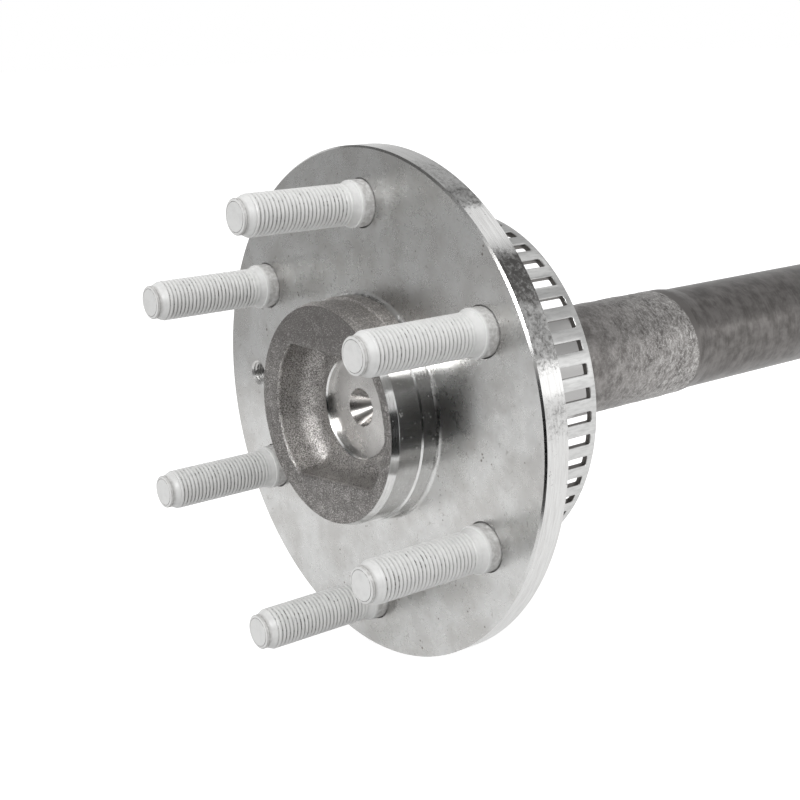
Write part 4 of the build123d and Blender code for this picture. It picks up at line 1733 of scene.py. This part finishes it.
    def build(self, material: bpy.types.Material) -> bpy.types.Object:
        """Make the ring.

        Args:
            material: Its finish.

        Returns:
            The finished piece.
        """
        source = new_object("ring_sector", self.sector())
        values = {"Windows": self.windows, "Merge Distance": self.merge_mm * MM, "Material": material}
        piece = shaped(source, self.tree(), values, "slotted_ring")
        finished(piece, 35.0, self.merge_mm)
        placed(piece, Slot.RING, "tone_ring")
        return piece


# The studio


@dataclass
class Studio:
    """The camera, the white floor and world, two soft lights, and cards for the metal to reflect. Metres."""

    floor_z: float = -0.0887
    camera_at: tuple[float, float, float] = (0.3800472, -0.2780062, 0.1225356)
    azimuth: float = 0.9152789
    elevation: float = 0.251047
    roll: float = -0.0278429
    lens_mm: float = 63.492
    sensor_mm: float = 36.0
    clip: tuple[float, float] = (0.02, 50.0)
    world_soft: float = 0.8
    floor_reach: float = 12.0
    floor_seen: float = 0.8
    floor_mirrored: float = 0.5
    cloth_lift: float = 0.001
    facets: int = 10

    def camera(self) -> None:
        """Stand the camera where the photograph was taken."""
        sa, ca = math.sin(self.azimuth), math.cos(self.azimuth)
        se, ce = math.sin(self.elevation), math.cos(self.elevation)
        forward = np.array([-sa * ce, ca * ce, -se])
        right = np.array([ca, sa, 0.0])
        up = np.cross(right, forward)
        c, s = math.cos(self.roll), math.sin(self.roll)
        right, up = c * right + s * up, -s * right + c * up
        data = bpy.data.cameras.new("camera")
        data.sensor_width = self.sensor_mm
        data.lens = self.lens_mm
        data.clip_start, data.clip_end = self.clip
        camera = bpy.data.objects.new("camera", data)
        bpy.context.scene.collection.objects.link(camera)
        turned = Matrix.Identity(4)
        for row in range(3):
            turned[row][0], turned[row][1], turned[row][2] = right[row], up[row], -forward[row]
            turned[row][3] = self.camera_at[row]
        camera.matrix_world = turned
        bpy.context.scene.camera = camera

    def world(self) -> None:
        """Give the camera and the metal a white surround, and everything else a softer one."""
        world = bpy.data.worlds.new("studio")
        tree = emptied(world)
        path = add_node(tree, "ShaderNodeLightPath").outputs
        glossy, through = path["Is Glossy Ray"], path["Is Transmission Ray"]
        mirrored = add_node(tree, MATH, glossy, through, operation="MAXIMUM")
        seen = add_node(tree, MATH, path["Is Camera Ray"], mirrored, operation="MAXIMUM")
        strength = add_node(tree, RAMP, seen, 0.0, 1.0, self.world_soft, 1.0)
        light = add_node(tree, "ShaderNodeBackground", linear("#FFFFFF"), strength)
        add_node(tree, "ShaderNodeOutputWorld", light)
        bpy.context.scene.world = world

    def floor(self) -> None:
        """Lay the floor, which is white to the camera and keeps a soft shadow."""
        mesh = bpy.data.meshes.new("floor")
        far, z = self.floor_reach, self.floor_z
        mesh.from_pydata([(-far, -far, z), (far, -far, z), (far, far, z), (-far, far, z)], [], [(0, 1, 2, 3)])
        floor = new_object("floor", mesh)
        material = bpy.data.materials.new("white_paper")
        tree = emptied(material)
        path = add_node(tree, "ShaderNodeLightPath").outputs
        glossy, through = path["Is Glossy Ray"], path["Is Transmission Ray"]
        mirrored = add_node(tree, MATH, glossy, through, operation="MAXIMUM")
        seen = add_node(tree, MATH, path["Is Camera Ray"], self.floor_seen, operation="MULTIPLY")
        glow = add_node(tree, MATH, mirrored, self.floor_mirrored, seen, operation="MULTIPLY_ADD")
        paper = add_node(tree, "ShaderNodeBsdfDiffuse", linear("#C4C4C4"))
        light = add_node(tree, "ShaderNodeEmission", linear("#FFFFFF"), glow)
        both = add_node(tree, "ShaderNodeAddShader", paper, light)
        add_node(tree, "ShaderNodeOutputMaterial", both)
        mesh.materials.append(material)

    def card(
        self,
        name: str,
        corners: list[tuple[float, float, float]],
        colour: str,
        strength: float = 1.0,
        faces: list[tuple[int, ...]] | None = None,
    ) -> None:
        """Stand a card that only the metal's reflections see.

        Args:
            name: The card's name.
            corners: Its corners in metres.
            colour: Its colour.
            strength: How bright it is, where 1 is as written.
            faces: The corners of each facet, where one facet has them all if this is left out.
        """
        mesh = bpy.data.meshes.new(name)
        mesh.from_pydata(corners, [], faces or [tuple(range(len(corners)))])
        panel = new_object(name, mesh)
        material = bpy.data.materials.new(name)
        tree = emptied(material)
        light = add_node(tree, "ShaderNodeEmission", linear(colour), strength)
        add_node(tree, "ShaderNodeOutputMaterial", light)
        mesh.materials.append(material)
        panel.visible_camera = False
        panel.visible_diffuse = False
        panel.visible_shadow = False
        panel.visible_transmission = False

    def curved(
        self,
        name: str,
        distance: float,
        azimuth: tuple[float, float],
        elevation: tuple[float, float],
        colour: str,
        strength: float = 1.0,
    ) -> None:
        """Bend a card round the part, so that it fills a range of directions.

        Args:
            name: The card's name.
            distance: How far it is from the part, in metres.
            azimuth: Its two sides, in degrees from +X towards +Y.
            elevation: Its foot and its top, in degrees above the horizon.
            colour: Its colour.
            strength: How bright it is, where 1 is as written.
        """
        turns = np.radians(np.linspace(*azimuth, self.facets + 1))
        rises = np.radians(np.linspace(*elevation, self.facets + 1))
        corners = [
            (
                distance * math.cos(turn) * math.cos(rise),
                distance * math.sin(turn) * math.cos(rise),
                distance * math.sin(rise),
            )
            for rise in rises
            for turn in turns
        ]
        wide = self.facets + 1
        starts = [wide * row + column for row in range(self.facets) for column in range(self.facets)]
        self.card(name, corners, colour, strength, [(i, i + 1, i + 1 + wide, i + wide) for i in starts])

    def softbox(self, name: str, at: tuple[float, float, float], size: float, power: float) -> None:
        """Hang a square soft light that points at the part.

        Args:
            name: The light's name.
            at: Its place in metres.
            size: Its side in metres.
            power: Its power in watts.
        """
        data = bpy.data.lights.new(name, "AREA")
        data.shape = "SQUARE"
        data.size = size
        data.energy = power
        lamp = bpy.data.objects.new(name, data)
        bpy.context.scene.collection.objects.link(lamp)
        lamp.location = at
        lamp.rotation_mode = "QUATERNION"
        lamp.rotation_quaternion = Vector(at).to_track_quat("Z", "Y")
        lamp.visible_camera = False
        lamp.visible_glossy = False

    def build(self) -> None:
        """Set up everything around the part."""
        bpy.context.scene.view_settings.view_transform = "Standard"
        self.camera()
        self.world()
        self.floor()
        self.curved("camera_flag", 0.75, (-48.0, -12.0), (-8.0, 23.0), "#000000")
        self.curved("side_flag", 0.75, (-100.0, -48.0), (-8.0, 10.0), "#0A0A0A")
        self.curved("low_flag", 0.75, (-12.0, 8.0), (-8.0, 9.0), "#000000")
        z = self.floor_z + self.cloth_lift
        cloth = [(0.16, 0.03, z), (0.9, 0.03, z), (0.457, -0.914, z), (0.131, -0.183, z)]
        self.card("dark_cloth", cloth, "#000000")
        self.curved("front_card", 1.3, (-112.0, 12.0), (24.0, 46.0), "#FFFFFF", 1.4)
        self.curved("front_high_card", 1.3, (-112.0, 38.0), (46.0, 72.0), "#8C8C8C")
        front = [(-0.1, -0.22, z), (0.145, -0.22, z), (0.457, -0.914, z), (-0.1, -1.0, z)]
        self.card("dark_front_cloth", front, "#000000")
        self.curved("key_card", 1.1, (-70.0, -38.0), (24.0, 42.0), "#FFFFFF", 15.0)
        self.curved("left_low_card", 0.42, (190.0, 250.0), (-12.0, -6.0), "#C6C6C6")
        self.curved("left_card", 0.7, (190.0, 250.0), (-7.0, 30.0), "#A6A6A6")
        self.curved("upper_card", 1.3, (168.0, 250.0), (30.0, 72.0), "#6A6A6A")
        self.curved("overhead_card", 1.3, (0.0, 360.0), (72.0, 90.0), "#969696")
        self.curved("back_card", 1.6, (38.0, 166.0), (35.0, 72.0), "#BABABA")
        self.curved("mid_back_card", 1.6, (38.0, 166.0), (15.0, 35.0), "#D0D0D0")
        self.curved("low_back_card", 1.6, (120.0, 166.0), (-3.0, 15.0), "#E4E4E4")
        self.curved("top_strip", 1.0, (70.0, 98.0), (42.0, 56.0), "#FFFFFF", 1.15)
        self.curved("white_card", 1.0, (28.0, 58.0), (4.1, 15.0), "#FFFFFF", 1.6)
        self.softbox("front_light", (0.45, -1.0, 0.45), 1.2, 3.9)
        self.softbox("top_light", (0.3, -0.1, 1.2), 1.2, 5.0)


def main() -> None:
    """Build every piece in order, then the studio, and note the sizes."""
    logging.basicConfig(level=logging.INFO, format="%(name)s: %(message)s")
    rim_stains = ((8.0, 6.0, 0.3), (24.0, 9.0, 0.7), (36.5, 8.0, 1.15), (57.5, 4.5, 0.6), (66.0, 9.0, 0.3))
    finishes: dict[Face, Finish] = {
        Face.TURNED: TurnedSteel("faced_steel"),
        Face.PILOT: BrightCut("bright_cut_steel", raw_side=True),
        Face.FORGED: ForgedScale("forged_scale"),
        Face.NECK: NeckScale("neck_scale"),
        Face.JOURNAL: GroundJournal("ground_journal"),
        Face.RIM: BrightCut("turned_rim_steel", roughness=0.17, stains=rim_stains),
        Face.SPOT: TurnedSteel(
            "spot_faced_steel", light="#CBC9C7", dark="#BAB8B6", anisotropic=0.8, marks=0.0
        ),
        Face.BORE: TappedSteel("tapped_steel"),
        Face.BACK: TurnedSteel(
            "turned_back_steel", light="#AFABA7", dark="#8A8682", roughness=0.35, marks=0.6
        ),
    }
    forging = Forging()
    forging.build([finishes[face].material() for face in Face])
    coating = ZincFlake("zinc_flake_coating").material()
    stud = WheelStud()
    for number, angle in enumerate(forging.stud_angles, start=1):
        stud.build(number, angle, coating)
    ToneRing().build(StampedSteel("stamped_sheet_steel").material())
    Studio().build()


if __name__ == "__main__":
    main()
